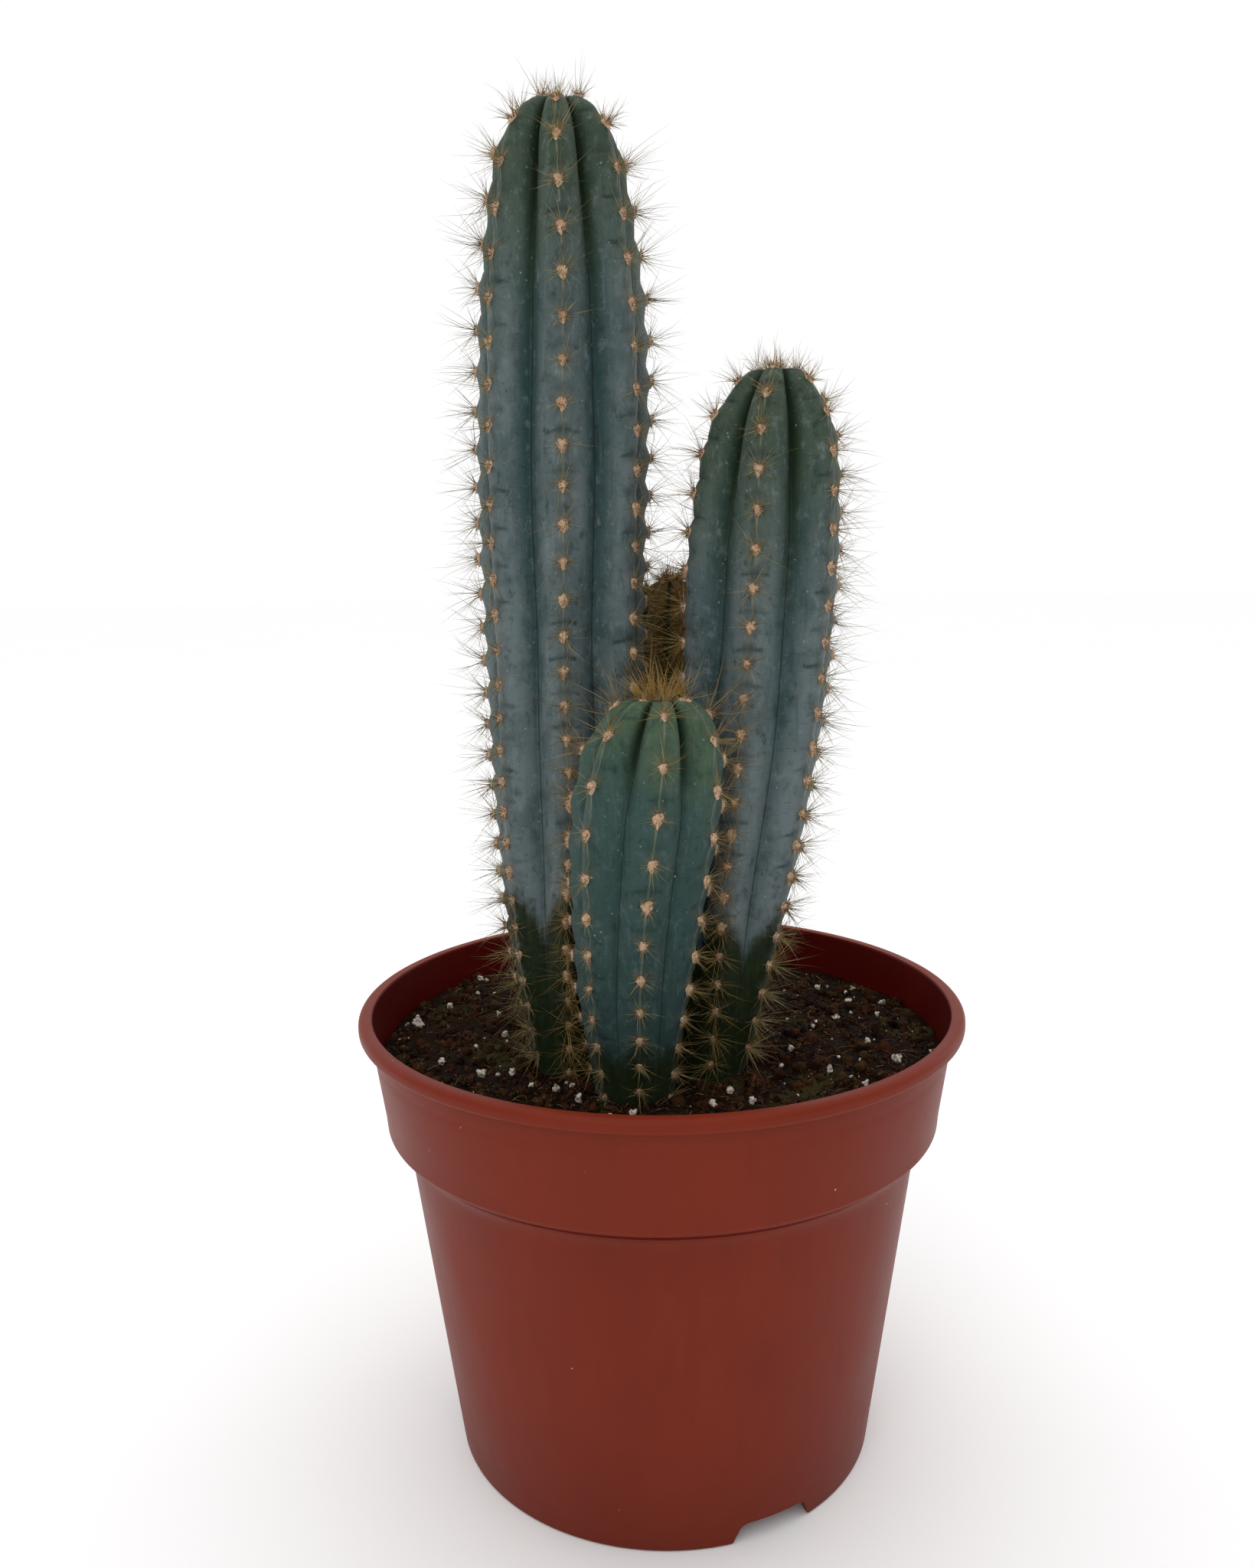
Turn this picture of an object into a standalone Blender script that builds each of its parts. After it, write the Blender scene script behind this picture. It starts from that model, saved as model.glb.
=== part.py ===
"""Potted columnar cactus: four ribbed stems growing from soil in a plastic nursery pot.

Lengths in the tables are millimetres, and mm() turns them into Blender's metres. +Z is up and the
origin is the centre of the pot's foot ring. Azimuths are counted from -Y (the front) towards +X.
"""

import math
import random
from dataclasses import dataclass
from functools import cached_property

import bmesh
import bpy
from mathutils import Matrix, Vector, noise
from mathutils.bvhtree import BVHTree

# ---------------------------------------------------------------- driving dimensions, millimetres
RIM_RADIUS = 85.0  # outside of the rolled lip
POT_HEIGHT = 129.4
LIP_WIDTH = 4.0
LIP_HEIGHT = 3.8
COLLAR_TOP_RADIUS = 82.2
COLLAR_FOOT_RADIUS = 77.8
COLLAR_FOOT_Z = 97.0
WALL_TOP_RADIUS = 72.4  # under the collar's shoulder
WALL_TOP_Z = 92.6
FOOT_RADIUS = 60.2
FOOT_RING_WIDTH = 2.0
WALL = 1.3
FLOOR_UNDERSIDE_Z = 6.5  # the floor is raised above the foot ring
POT_STEPS = 72

NOTCH_AZIMUTHS = (28.0, 148.0, 268.0)  # three drainage notches in the foot ring
NOTCH_WIDTH = 24.0
NOTCH_TOP_WIDTH = 19.0
NOTCH_HEIGHT = 6.0
DRAIN_HOLES = 8
DRAIN_RADIUS = 4.0
DRAIN_CIRCLE = 38.0

GAP = 0.3  # between pieces that touch
SOIL_LEVEL = 117.0
SOIL_SEGMENTS = 36
SOIL_TOP_RINGS = 8
SOCKET_SEGMENTS = 20

ROOT_DEPTH = 20.0  # how far each stem reaches into the soil
SEGMENTS_PER_RIB = 4
RINGS_PER_AREOLE = 2
AREOLE_SWELLING = 0.045  # of the crest radius

# The perlite grains that lie on the soil: x, y and radius of each.
GRAINS = (
    (-58, 45, 1.3),
    (-64, 20, 1.2),
    (-72, 9, 1.7),
    (-48, 13, 1.2),
    (-45, 0, 1.3),
    (-60, -20, 1.4),
    (-48, -28, 1.6),
    (-40, -27, 1.3),
    (-34, -36, 1.0),
    (-27, -38, 1.4),
    (-21, -44, 1.4),
    (-7, -53, 1.5),
    (50, 40, 1.3),
    (61, 39, 1.4),
    (58, 27, 1.3),
    (68, 26, 1.3),
    (65, 16, 1.1),
    (45, 6, 1.8),
    (52, 12, 1.5),
    (36, -15, 1.3),
    (43, -18, 1.6),
    (58, -10, 1.4),
    (64, -22, 1.4),
    (45, -28, 1.2),
    (53, -37, 1.2),
    (18, -39, 1.3),
    (13, -48, 1.7),
    (23, -46, 1.4),
    (-33, 52, 1.5),
    (-12, 60, 1.2),
    (14, 47, 1.7),
    (32, 62, 1.4),
)


def mm(value):
    return value * 0.001


def smoothstep(low, high, value):
    share = min(1.0, max(0.0, (value - low) / (high - low)))
    return share * share * (3.0 - 2.0 * share)


def spoke(azimuth):
    """The unit vector away from the axis at an azimuth in degrees."""
    angle = math.radians(azimuth)
    return Vector((math.sin(angle), -math.cos(angle), 0.0))


# ---------------------------------------------------------------- the four stems
@dataclass(frozen=True)
class Stem:
    """One ribbed stem.

    foot, waist and tip are points on its axis. crest lists heights above the foot, from the soil to
    the crown, each with the radius over the rib crests. spacing is the distance between the areoles
    of a rib, at the root and at the crown, and stagger is the share of it that each rib's areoles
    stand above those of the rib before. fold scales the depth of the furrows below the crown.
    """

    name: str
    ribs: int
    turn: float
    foot: tuple
    waist: tuple
    tip: tuple
    crest: tuple
    spacing: tuple
    stagger: float
    fold: float

    def axis(self, z):
        """The axis point at height z, on a parabola through foot, waist and tip."""
        (x0, y0, z0), (x1, y1, z1), (x2, y2, z2) = self.foot, self.waist, self.tip
        w0 = (z - z1) * (z - z2) / ((z0 - z1) * (z0 - z2))
        w1 = (z - z0) * (z - z2) / ((z1 - z0) * (z1 - z2))
        w2 = (z - z0) * (z - z1) / ((z2 - z0) * (z2 - z1))
        return Vector((x0 * w0 + x1 * w1 + x2 * w2, y0 * w0 + y1 * w1 + y2 * w2, z))

    @cached_property
    def outline(self):
        """Control points (radius, height above the foot), from the root's end to the apex."""
        foot_radius = self.crest[0][1]
        root = [(0.0, -ROOT_DEPTH), (0.45 * foot_radius, -0.9 * ROOT_DEPTH)]
        root.append((0.8 * foot_radius, -0.4 * ROOT_DEPTH))
        shoot = [(radius, height) for height, radius in self.crest]
        return root + shoot + [(0.0, self.tip[2] - self.foot[2])]

    def on_spline(self, place):
        """Radius and height at a place along the smooth curve through the outline's points."""
        points = self.outline
        index = min(int(place), len(points) - 2)
        t = place - index
        ends = points[max(index - 1, 0)], points[min(index + 2, len(points) - 1)]
        return [
            0.5 * (2 * b + (c - a) * t + (2 * a - 5 * b + 4 * c - d) * t**2)
            + 0.5 * (3 * b - a - 3 * c + d) * t**3
            for a, b, c, d in zip(ends[0], points[index], points[index + 1], ends[1])
        ]

    @cached_property
    def trace(self):
        """Points (distance travelled, radius, height) close together along the spline."""
        steps_per_span = 24
        count = steps_per_span * (len(self.outline) - 1)
        travelled, found = 0.0, []
        for step in range(count + 1):
            radius, height = self.on_spline(step / steps_per_span)
            if found:
                travelled += math.dist((radius, height), found[-1][1:])
            found.append((travelled, radius, height))
        return found

    def at_distance(self, distance):
        """Crest radius and height z at a distance along the outline from the root's end."""
        for before, after in zip(self.trace, self.trace[1:]):
            if distance <= after[0]:
                share = (distance - before[0]) / (after[0] - before[0])
                radius, height = (a + (b - a) * share for a, b in zip(before[1:], after[1:]))
                return max(radius, 0.0), self.foot[2] + height
        return 0.0, self.tip[2]

    @cached_property
    def spread(self):
        """How much the areole spacing grows for each millimetre along the rib."""
        return (self.spacing[1] - self.spacing[0]) / self.trace[-1][0]

    @cached_property
    def turns(self):
        """The number of areole spacings between the root's end and the apex."""
        return math.log(self.spacing[1] / self.spacing[0]) / self.spread

    def distance(self, turns):
        """Distance along the outline after a number of areole spacings."""
        return self.spacing[0] * (math.exp(self.spread * turns) - 1.0) / self.spread

    def furrow_depth(self, z):
        """Depth of the furrows as a share of the crest radius: deepest at the crown."""
        grown = 0.05 + 0.18 * self.fold * smoothstep(-2.0, 45.0, z - self.foot[2])
        return grown + 0.28 * (1.0 - smoothstep(4.0, 50.0 * self.fold**2, self.tip[2] - z))

    def ribbed(self, crest_radius, z, azimuth, swelling):
        """Radius of the section at an azimuth: round crests, which swell, and sharp furrows."""
        crest = abs(math.cos(math.radians(azimuth - self.turn) * self.ribs / 2.0))
        narrowing = 1.0 - 0.45 * (1.0 - smoothstep(10.0, 70.0, self.tip[2] - z))
        furrow = self.furrow_depth(z) * (1.0 - crest**narrowing)
        return crest_radius * (1.0 - furrow + swelling * crest**8)

    def swelling(self, ring, rib):
        """How much a rib's crest swells at a ring, where every second ring bears its areoles."""
        phase = round(RINGS_PER_AREOLE * rib * self.stagger)
        bears = (ring - phase) % RINGS_PER_AREOLE == 0
        return AREOLE_SWELLING / 2.0 if bears else -AREOLE_SWELLING / 2.0

    def vertex(self, ring, rings, column):
        """A point of the skin, by ring from the root and by column around the section."""
        crest_radius, z = self.at_distance(self.distance(self.turns * ring / rings))
        azimuth = self.turn + 360.0 * column / (SEGMENTS_PER_RIB * self.ribs)
        rib = round(column / SEGMENTS_PER_RIB) % self.ribs
        rounded = smoothstep(0.0, 30.0, z - self.foot[2]) * smoothstep(0.0, 8.0, self.tip[2] - z)
        swelling = self.swelling(ring, rib) * rounded
        return self.axis(z) + spoke(azimuth) * self.ribbed(crest_radius, z, azimuth, swelling)


STEMS = (
    Stem(
        name="tall_stem",
        ribs=7,
        turn=3.5,
        foot=(-25.2, -18.0, 116.0),
        waist=(-24.6, -7.0, 200.0),
        tip=(-23.5, -3.0, 367.4),
        crest=(
            (0, 9.8),
            (17, 13.0),
            (34, 16.4),
            (58, 19.4),
            (85, 21.5),
            (125, 22.4),
            (172, 23.3),
            (200, 22.6),
            (218, 20.6),
            (232, 18.4),
            (241, 16.3),
            (248, 12.0),
            (250.8, 8.6),
            (251.8, 5.8),
        ),
        spacing=(6.2, 11.85),
        stagger=0.43,
        fold=1.0,
    ),
    Stem(
        name="right_stem",
        ribs=6,
        turn=-12.0,
        foot=(14.2, -22.0, 116.5),
        waist=(24.9, -12.0, 205.0),
        tip=(31.8, -8.0, 299.8),
        crest=(
            (0, 9.2),
            (17, 11.8),
            (37, 14.9),
            (58, 17.5),
            (85, 19.2),
            (110, 20.4),
            (135, 21.2),
            (152, 20.3),
            (163, 18.9),
            (172, 16.2),
            (179.5, 11.3),
            (182.8, 8.2),
            (183.8, 5.6),
        ),
        spacing=(6.8, 10.6),
        stagger=0.5,
        fold=1.0,
    ),
    Stem(
        name="front_stem",
        ribs=7,
        turn=6.0,
        foot=(-6.6, -36.0, 115.0),
        waist=(-4.9, -41.0, 167.0),
        tip=(0.6, -44.0, 218.9),
        crest=(
            (0, 10.4),
            (14, 12.4),
            (30, 14.9),
            (52, 17.3),
            (72, 18.9),
            (85, 18.5),
            (94, 16.6),
            (100, 13.2),
            (103.1, 10.0),
            (104.3, 7.4),
        ),
        spacing=(5.1, 14.05),
        stagger=0.43,
        fold=0.75,
    ),
    Stem(
        name="rear_stem",
        ribs=7,
        turn=20.0,
        foot=(2.0, 9.0, 117.0),
        waist=(3.0, 16.0, 180.0),
        tip=(4.6, 20.0, 247.0),
        crest=(
            (0, 7.6),
            (18, 9.6),
            (45, 11.8),
            (75, 13.4),
            (98, 13.6),
            (114, 12.4),
            (124, 9.4),
            (129, 5.2),
        ),
        spacing=(7.0, 9.0),
        stagger=0.43,
        fold=1.0,
    ),
)


# ---------------------------------------------------------------- scene, materials and objects
def clear_scene():
    for obj in list(bpy.data.objects):
        bpy.data.objects.remove(obj)


def new_collection(name):
    made = bpy.data.collections.new(name)
    bpy.context.scene.collection.children.link(made)
    return made


def material(name, colour, roughness):
    made = bpy.data.materials.new(name)
    made.use_nodes = True
    shader = made.node_tree.nodes["Principled BSDF"]
    shader.inputs["Base Color"].default_value = (*colour, 1.0)
    shader.inputs["Roughness"].default_value = roughness
    shader.inputs["Metallic"].default_value = 0.0
    made.diffuse_color = (*colour, 1.0)
    return made


def add_object(name, mesh, collection, parent, finish, place=(0.0, 0.0, 0.0)):
    """An object at place, whose mesh is given about its own origin."""
    made = bpy.data.objects.new(name, mesh)
    collection.objects.link(made)
    made.parent = parent
    made.location = [mm(value) for value in place]
    made.data.materials.append(finish)
    return made


def mesh_from(name, build):
    """A mesh made by a function that fills a bmesh in millimetres."""
    work = bmesh.new()
    build(work)
    bmesh.ops.scale(work, vec=(0.001, 0.001, 0.001), verts=work.verts)
    if work.faces:
        bmesh.ops.recalc_face_normals(work, faces=work.faces)
    mesh = bpy.data.meshes.new(name)
    work.to_mesh(mesh)
    work.free()
    return mesh


def shade_round(mesh, sharp_angle):
    mesh.shade_smooth()
    mesh.set_sharp_from_angle(angle=math.radians(sharp_angle))


def cut(target, cutter):
    """Cuts one object with another, which then only shows as a wire."""
    cutter.hide_render = True
    cutter.display_type = "WIRE"
    modifier = target.modifiers.new(cutter.name, "BOOLEAN")
    modifier.operation = "DIFFERENCE"
    modifier.solver = "EXACT"
    modifier.object = cutter


# ---------------------------------------------------------------- pot
def wall_radius(z):
    """Outer radius of the pot's wall at height z."""
    stations = (
        (0.0, FOOT_RADIUS),
        (WALL_TOP_Z, WALL_TOP_RADIUS),
        (COLLAR_FOOT_Z, COLLAR_FOOT_RADIUS),
        (POT_HEIGHT, COLLAR_TOP_RADIUS),
    )
    for (z0, r0), (z1, r1) in zip(stations, stations[1:]):
        if z <= z1:
            return r0 + (r1 - r0) * (z - z0) / (z1 - z0)
    return COLLAR_TOP_RADIUS


def arc(centre_r, centre_z, radius, start, end, steps):
    """Points of a round corner in the profile's plane, with angles in degrees from +R to +Z."""
    for step in range(steps + 1):
        angle = math.radians(start + (end - start) * step / steps)
        yield centre_r + radius * math.cos(angle), centre_z + radius * math.sin(angle)


def pot_profile():
    """The section, from the axis along the floor, up inside, over the lip and down outside."""
    floor_top = FLOOR_UNDERSIDE_Z + WALL
    lip_under = POT_HEIGHT - LIP_HEIGHT
    lip_inner = RIM_RADIUS - LIP_WIDTH
    rounding, small_rounding = 1.4, 0.8
    inside = [
        (0.0, floor_top),
        (wall_radius(floor_top) - WALL, floor_top),
        (WALL_TOP_RADIUS - WALL, WALL_TOP_Z),
        (COLLAR_FOOT_RADIUS - WALL, COLLAR_FOOT_Z),
        (wall_radius(lip_under) - WALL, lip_under),
        (lip_inner, POT_HEIGHT - small_rounding),
        (lip_inner + small_rounding, POT_HEIGHT),
    ]
    lip = list(arc(RIM_RADIUS - rounding, POT_HEIGHT - rounding, rounding, 90.0, 0.0, 3))
    lip_foot = arc(RIM_RADIUS - small_rounding, lip_under + small_rounding, small_rounding, 0.0, -90.0, 2)
    outside = [
        (wall_radius(lip_under), lip_under),
        (COLLAR_FOOT_RADIUS + 0.35, COLLAR_FOOT_Z + 3.0),
        (COLLAR_FOOT_RADIUS - 0.6, COLLAR_FOOT_Z + 0.3),
        (WALL_TOP_RADIUS, WALL_TOP_Z),
        (FOOT_RADIUS + 0.1, 0.8),
        (FOOT_RADIUS - 0.4, 0.0),
    ]
    foot_inner = FOOT_RADIUS - 0.4 - FOOT_RING_WIDTH
    underside = [
        (foot_inner, 0.0),
        (foot_inner + 0.4, FLOOR_UNDERSIDE_Z),
        (0.0, FLOOR_UNDERSIDE_Z),
    ]
    return inside + lip + list(lip_foot) + outside + underside


def make_notch_cutter(azimuth, collection, parent, finish):
    """A wedge-sided block that cuts one drainage notch through the foot ring."""
    low_z = -2.0
    flare = (NOTCH_WIDTH - NOTCH_TOP_WIDTH) / 2.0 / NOTCH_HEIGHT
    half_low = NOTCH_WIDTH / 2.0 - flare * low_z

    def build(work):
        bmesh.ops.create_cube(work, size=2.0)
        for vert in work.verts:
            top = vert.co.z > 0.0
            half = NOTCH_TOP_WIDTH / 2.0 if top else half_low
            z = NOTCH_HEIGHT if top else low_z
            vert.co = Vector((half * vert.co.x, -FOOT_RADIUS + 6.0 * vert.co.y, z))

    name = f"notch_cutter_{azimuth:.0f}"
    cutter = add_object(name, mesh_from(name, build), collection, parent, finish)
    cutter.rotation_euler.z = math.radians(azimuth)
    return cutter


def make_drain_cutter(number, collection, parent, finish):
    """A pin that cuts one round drainage hole through the raised floor."""

    def build(work):
        bmesh.ops.create_cone(
            work, cap_ends=True, segments=12, radius1=DRAIN_RADIUS, radius2=DRAIN_RADIUS, depth=6.0
        )

    name = f"drain_cutter_{number}"
    azimuth = 11.0 + 360.0 * number / DRAIN_HOLES
    place = spoke(azimuth) * DRAIN_CIRCLE + Vector((0.0, 0.0, FLOOR_UNDERSIDE_Z + WALL / 2.0))
    return add_object(name, mesh_from(name, build), collection, parent, finish, place)


def make_pot(parts, cutters, parent):
    def build(work):
        ends = [work.verts.new((radius, 0.0, z)) for radius, z in pot_profile()]
        for here, following in zip(ends, ends[1:]):
            work.edges.new((here, following))

    plastic = material("terracotta_plastic", (0.18, 0.032, 0.019), 0.45)
    pot = add_object("pot", mesh_from("pot", build), parts, parent, plastic)
    turning = pot.modifiers.new("turning", "SCREW")
    turning.axis = "Z"
    turning.steps = POT_STEPS
    turning.render_steps = POT_STEPS
    turning.use_merge_vertices = True
    turning.merge_threshold = 0.00005
    for azimuth in NOTCH_AZIMUTHS:
        cut(pot, make_notch_cutter(azimuth, cutters, parent, plastic))
    for number in range(DRAIN_HOLES):
        cut(pot, make_drain_cutter(number, cutters, parent, plastic))


# ---------------------------------------------------------------- soil
def soil_height(x, y):
    """Height of the soil: a mound by the left wall, a low ridge right, a dip about the stems."""
    mound = 3.4 * math.exp(-(((x + 48.0) / 22.0) ** 2) - ((y - 34.0) / 26.0) ** 2)
    ridge = 1.6 * math.exp(-(((x - 42.0) / 26.0) ** 2) - ((y + 12.0) / 16.0) ** 2)
    dip = 1.4 * math.exp(-((x + 4.0) ** 2 + (y + 20.0) ** 2) / 30.0**2)
    lumps = 0.9 * noise.noise(Vector((x / 17.0, y / 17.0, 3.0)))
    return SOIL_LEVEL + mound + ridge - dip + lumps


def make_socket_cutter(stem, collection, parent, finish):
    """A tapered plug, a little wider than the stem's buried end, which makes its socket."""
    foot_radius = stem.crest[0][1]
    bottom, top = -ROOT_DEPTH - 1.0, 6.0

    def build(work):
        bmesh.ops.create_cone(
            work,
            cap_ends=True,
            segments=SOCKET_SEGMENTS,
            radius1=0.65 * foot_radius,
            radius2=1.2 * foot_radius + 0.5,
            depth=top - bottom,
            matrix=Matrix.Translation((0.0, 0.0, (top + bottom) / 2.0)),
        )
        for vert in work.verts:
            lean = stem.axis(stem.foot[2] + vert.co.z) - Vector(stem.foot)
            vert.co.x += lean.x
            vert.co.y += lean.y

    name = f"{stem.name}_socket"
    return add_object(name, mesh_from(name, build), collection, parent, finish, stem.foot)


def make_soil(parts, cutters, parent):
    """The root ball: a UV sphere whose rings are laid over the top and down the pot's wall."""
    inset = WALL + GAP
    floor_top = FLOOR_UNDERSIDE_Z + WALL + GAP
    side = (
        (COLLAR_FOOT_RADIUS - inset, COLLAR_FOOT_Z),
        (WALL_TOP_RADIUS - inset, WALL_TOP_Z),
        (wall_radius(floor_top) - inset, floor_top),
    )
    rings = SOIL_TOP_RINGS + len(side) + 1
    rim = wall_radius(SOIL_LEVEL) - inset - 0.2

    def build(work):
        bmesh.ops.create_uvsphere(work, u_segments=SOIL_SEGMENTS, v_segments=rings, radius=1.0)
        for vert in work.verts:
            ring = round(math.acos(min(1.0, max(-1.0, vert.co.z))) / math.pi * rings)
            out = Vector((vert.co.x, vert.co.y, 0.0))
            if 0 < ring < rings:
                out.normalize()
            if ring <= SOIL_TOP_RINGS:
                place = out * rim * ring / SOIL_TOP_RINGS if ring else Vector()
                vert.co = Vector((place.x, place.y, soil_height(place.x, place.y)))
            elif ring < rings:
                radius, z = side[ring - SOIL_TOP_RINGS - 1]
                vert.co = out * radius + Vector((0.0, 0.0, z))
            else:
                vert.co = Vector((0.0, 0.0, floor_top))

    earth = material("potting_soil", (0.022, 0.013, 0.008), 0.95)
    soil = add_object("soil", mesh_from("soil", build), parts, parent, earth)
    for stem in STEMS:
        cut(soil, make_socket_cutter(stem, cutters, parent, earth))
    shade_round(soil.data, 50.0)
    return soil


# ---------------------------------------------------------------- perlite
def grain_mesh(name, size, rng):
    """An angular grain: an icosphere, stretched, tumbled and pushed in at its corners."""
    stretch = Vector((rng.uniform(0.9, 1.2), rng.uniform(0.8, 1.0), rng.uniform(0.7, 0.95)))
    tumble = Matrix.Rotation(rng.uniform(0.0, math.pi), 3, (1.0, 2.0, 3.0))

    def build(work):
        bmesh.ops.create_icosphere(work, subdivisions=1, radius=size)
        for vert in work.verts:
            vert.co = tumble @ (vert.co * stretch) * rng.uniform(0.82, 1.0)

    return mesh_from(name, build)


def make_grains(parts, parent, soil):
    """The perlite: angular pale grains that lie on the soil, each its own object."""
    rng = random.Random(17)
    perlite = material("perlite", (0.68, 0.66, 0.6), 0.85)
    bpy.context.view_layer.update()
    ground = BVHTree.FromObject(soil, bpy.context.evaluated_depsgraph_get())
    above = Vector((0.0, 0.0, 200.0))
    down = Vector((0.0, 0.0, -1.0))
    for number, (x, y, size) in enumerate(GRAINS, start=1):
        name = f"perlite_{number:02d}"
        mesh = grain_mesh(name, size, rng)
        lowest = min(vert.co.z for vert in mesh.vertices) * 1000.0
        middle = Vector((x, y, 0.0))
        footprint = [middle] + [middle + spoke(60.0 * step) * 1.1 * size for step in range(6)]
        hits = [ground.ray_cast((point + above) * 0.001, down)[0] for point in footprint]
        ground_z = max(hit.z for hit in hits) * 1000.0
        add_object(name, mesh, parts, parent, perlite, (x, y, ground_z + GAP - lowest))


# ---------------------------------------------------------------- stems
def make_stem(stem, parts, parent, skin):
    """One stem: a UV sphere whose rings are drawn out along the ribbed outline."""
    segments = SEGMENTS_PER_RIB * stem.ribs
    rings = round(RINGS_PER_AREOLE * stem.turns)
    foot = Vector(stem.foot)

    def build(work):
        bmesh.ops.create_uvsphere(work, u_segments=segments, v_segments=rings, radius=1.0)
        for vert in work.verts:
            polar = math.acos(min(1.0, max(-1.0, vert.co.z)))
            ring = rings - round(polar / math.pi * rings)
            column = round(math.atan2(vert.co.x, -vert.co.y) / (2.0 * math.pi) * segments)
            vert.co = stem.vertex(ring, rings, column if 0 < ring < rings else 0) - foot

    made = add_object(stem.name, mesh_from(stem.name, build), parts, parent, skin, stem.foot)
    shade_round(made.data, 50.0)


def main():
    clear_scene()
    parts = new_collection("potted_cactus")
    cutters = new_collection("cutters")
    root = bpy.data.objects.new("potted_cactus_root", None)
    parts.objects.link(root)

    make_pot(parts, cutters, root)
    soil = make_soil(parts, cutters, root)
    make_grains(parts, root, soil)
    blue_skin = material("blue_green_skin", (0.052, 0.094, 0.098), 0.55)
    brown_skin = material("olive_brown_skin", (0.05, 0.045, 0.02), 0.7)
    for stem in STEMS:
        make_stem(stem, parts, root, brown_skin if stem.name == "rear_stem" else blue_skin)


main()
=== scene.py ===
"""Looks of the potted columnar cactus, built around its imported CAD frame.

Shapes are worked out in millimetres and scaled to metres as each mesh is made. +Z is up, -Y is the
front, and azimuths are degrees from -Y towards +X, as in the CAD source.
"""

import math
from dataclasses import dataclass
from functools import cached_property

import bmesh
import bpy
import numpy as np
from mathutils import Matrix, Vector, noise


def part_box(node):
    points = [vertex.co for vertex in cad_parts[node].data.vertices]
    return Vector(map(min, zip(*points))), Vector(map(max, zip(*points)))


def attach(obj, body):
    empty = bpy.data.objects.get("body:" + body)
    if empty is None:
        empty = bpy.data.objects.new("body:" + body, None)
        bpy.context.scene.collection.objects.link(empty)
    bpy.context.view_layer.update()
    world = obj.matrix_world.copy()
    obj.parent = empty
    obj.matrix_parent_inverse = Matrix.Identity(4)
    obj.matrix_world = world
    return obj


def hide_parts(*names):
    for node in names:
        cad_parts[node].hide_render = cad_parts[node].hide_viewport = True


MM = 0.001

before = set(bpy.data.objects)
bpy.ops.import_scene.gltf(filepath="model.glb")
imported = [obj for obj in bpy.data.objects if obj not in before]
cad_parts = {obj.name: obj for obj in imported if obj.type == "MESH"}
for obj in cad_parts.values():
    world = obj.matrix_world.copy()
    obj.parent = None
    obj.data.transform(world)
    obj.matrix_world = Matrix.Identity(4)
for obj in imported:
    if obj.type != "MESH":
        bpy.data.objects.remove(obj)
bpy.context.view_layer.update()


def node_box(name):
    """Lowest and highest corner of a CAD node, in millimetres."""
    low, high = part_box(name)
    return np.array(low) / MM, np.array(high) / MM


# ---------------------------------------------------------------- shared sizes, millimetres
POT_LOW, POT_HIGH = node_box("pot")
RIM_RADIUS = (POT_HIGH[0] - POT_LOW[0]) / 2.0
POT_HEIGHT = POT_HIGH[2]
LIP_WIDTH = 4.0
LIP_HEIGHT = 3.8
COLLAR_TOP_RADIUS = 82.2
COLLAR_FOOT_RADIUS = 77.8
COLLAR_FOOT_Z = 97.0
WALL_TOP_RADIUS = 72.4
WALL_TOP_Z = 92.6
FOOT_RADIUS = 60.2
FOOT_RING_WIDTH = 2.0
WALL = 1.3
FLOOR_UNDERSIDE_Z = 6.5
NOTCH_AZIMUTHS = (28.0, 148.0, 268.0)
NOTCH_WIDTH = 24.0
NOTCH_TOP_WIDTH = 19.0
NOTCH_HEIGHT = 6.0
DRAIN_HOLES = 8
DRAIN_RADIUS = 4.0
DRAIN_CIRCLE = 38.0
GAP = 0.3
UP = np.array([0.0, 0.0, 1.0])
SOIL_LEVEL = 117.0
ROOT_DEPTH = 20.0
FOOT_FURROW, BODY_FURROW, CROWN_FURROW = 0.05, 0.18, 0.28  # depths, as shares of the crest radius
TUBERCLE_SWELL = 0.046  # from a tubercle's lowest to its highest place, as a share of the crest radius
PINCH_DEPTH = 0.3
PINCH_WIDTH = 0.4
PINCH_DROOP = 0.014  # how much lower a pinch lies away from the crest, in spacings a millimetre
CREST_ROUNDING = 0.3  # how far a straight-sided rib's crest is rounded, as a share of its half width
NOTCH_PLACE = 0.38  # of the way up from an areole to the next one, where the rib is pinched


# ---------------------------------------------------------------- small maths
def smoothstep(low, high, value):
    share = np.clip((np.asarray(value, float) - low) / (high - low), 0.0, 1.0)
    return share * share * (3.0 - 2.0 * share)


def unit(vectors):
    return vectors / np.maximum(np.linalg.norm(vectors, axis=-1, keepdims=True), 1e-9)


def spoke(azimuth):
    """Unit vectors away from the axis at azimuths in degrees."""
    angle = np.radians(azimuth)
    return np.stack([np.sin(angle), -np.cos(angle), np.zeros_like(angle)], axis=-1)


def noise_at(points, scale, seed=0.0):
    """Smooth noise in -1 to 1 at each point, with features about scale millimetres wide."""
    offset = Vector((seed, 2.0 * seed, 3.0 * seed))
    flat = np.asarray(points, float).reshape(-1, 3) / scale
    found = [noise.noise(Vector(point) + offset) for point in flat]
    return np.array(found).reshape(np.shape(points)[:-1])


def level(angle):
    """Level unit vectors at angles in radians from +X."""
    return np.stack([np.cos(angle), np.sin(angle), np.zeros_like(angle)], -1)


def any_frame(axis):
    """Two unit vectors square to each axis and to each other."""
    helper = np.where(np.abs(axis[..., 2:3]) < 0.9, [[0.0, 0.0, 1.0]], [[1.0, 0.0, 0.0]])
    first = unit(np.cross(axis, helper))
    return first, np.cross(axis, first)


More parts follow.
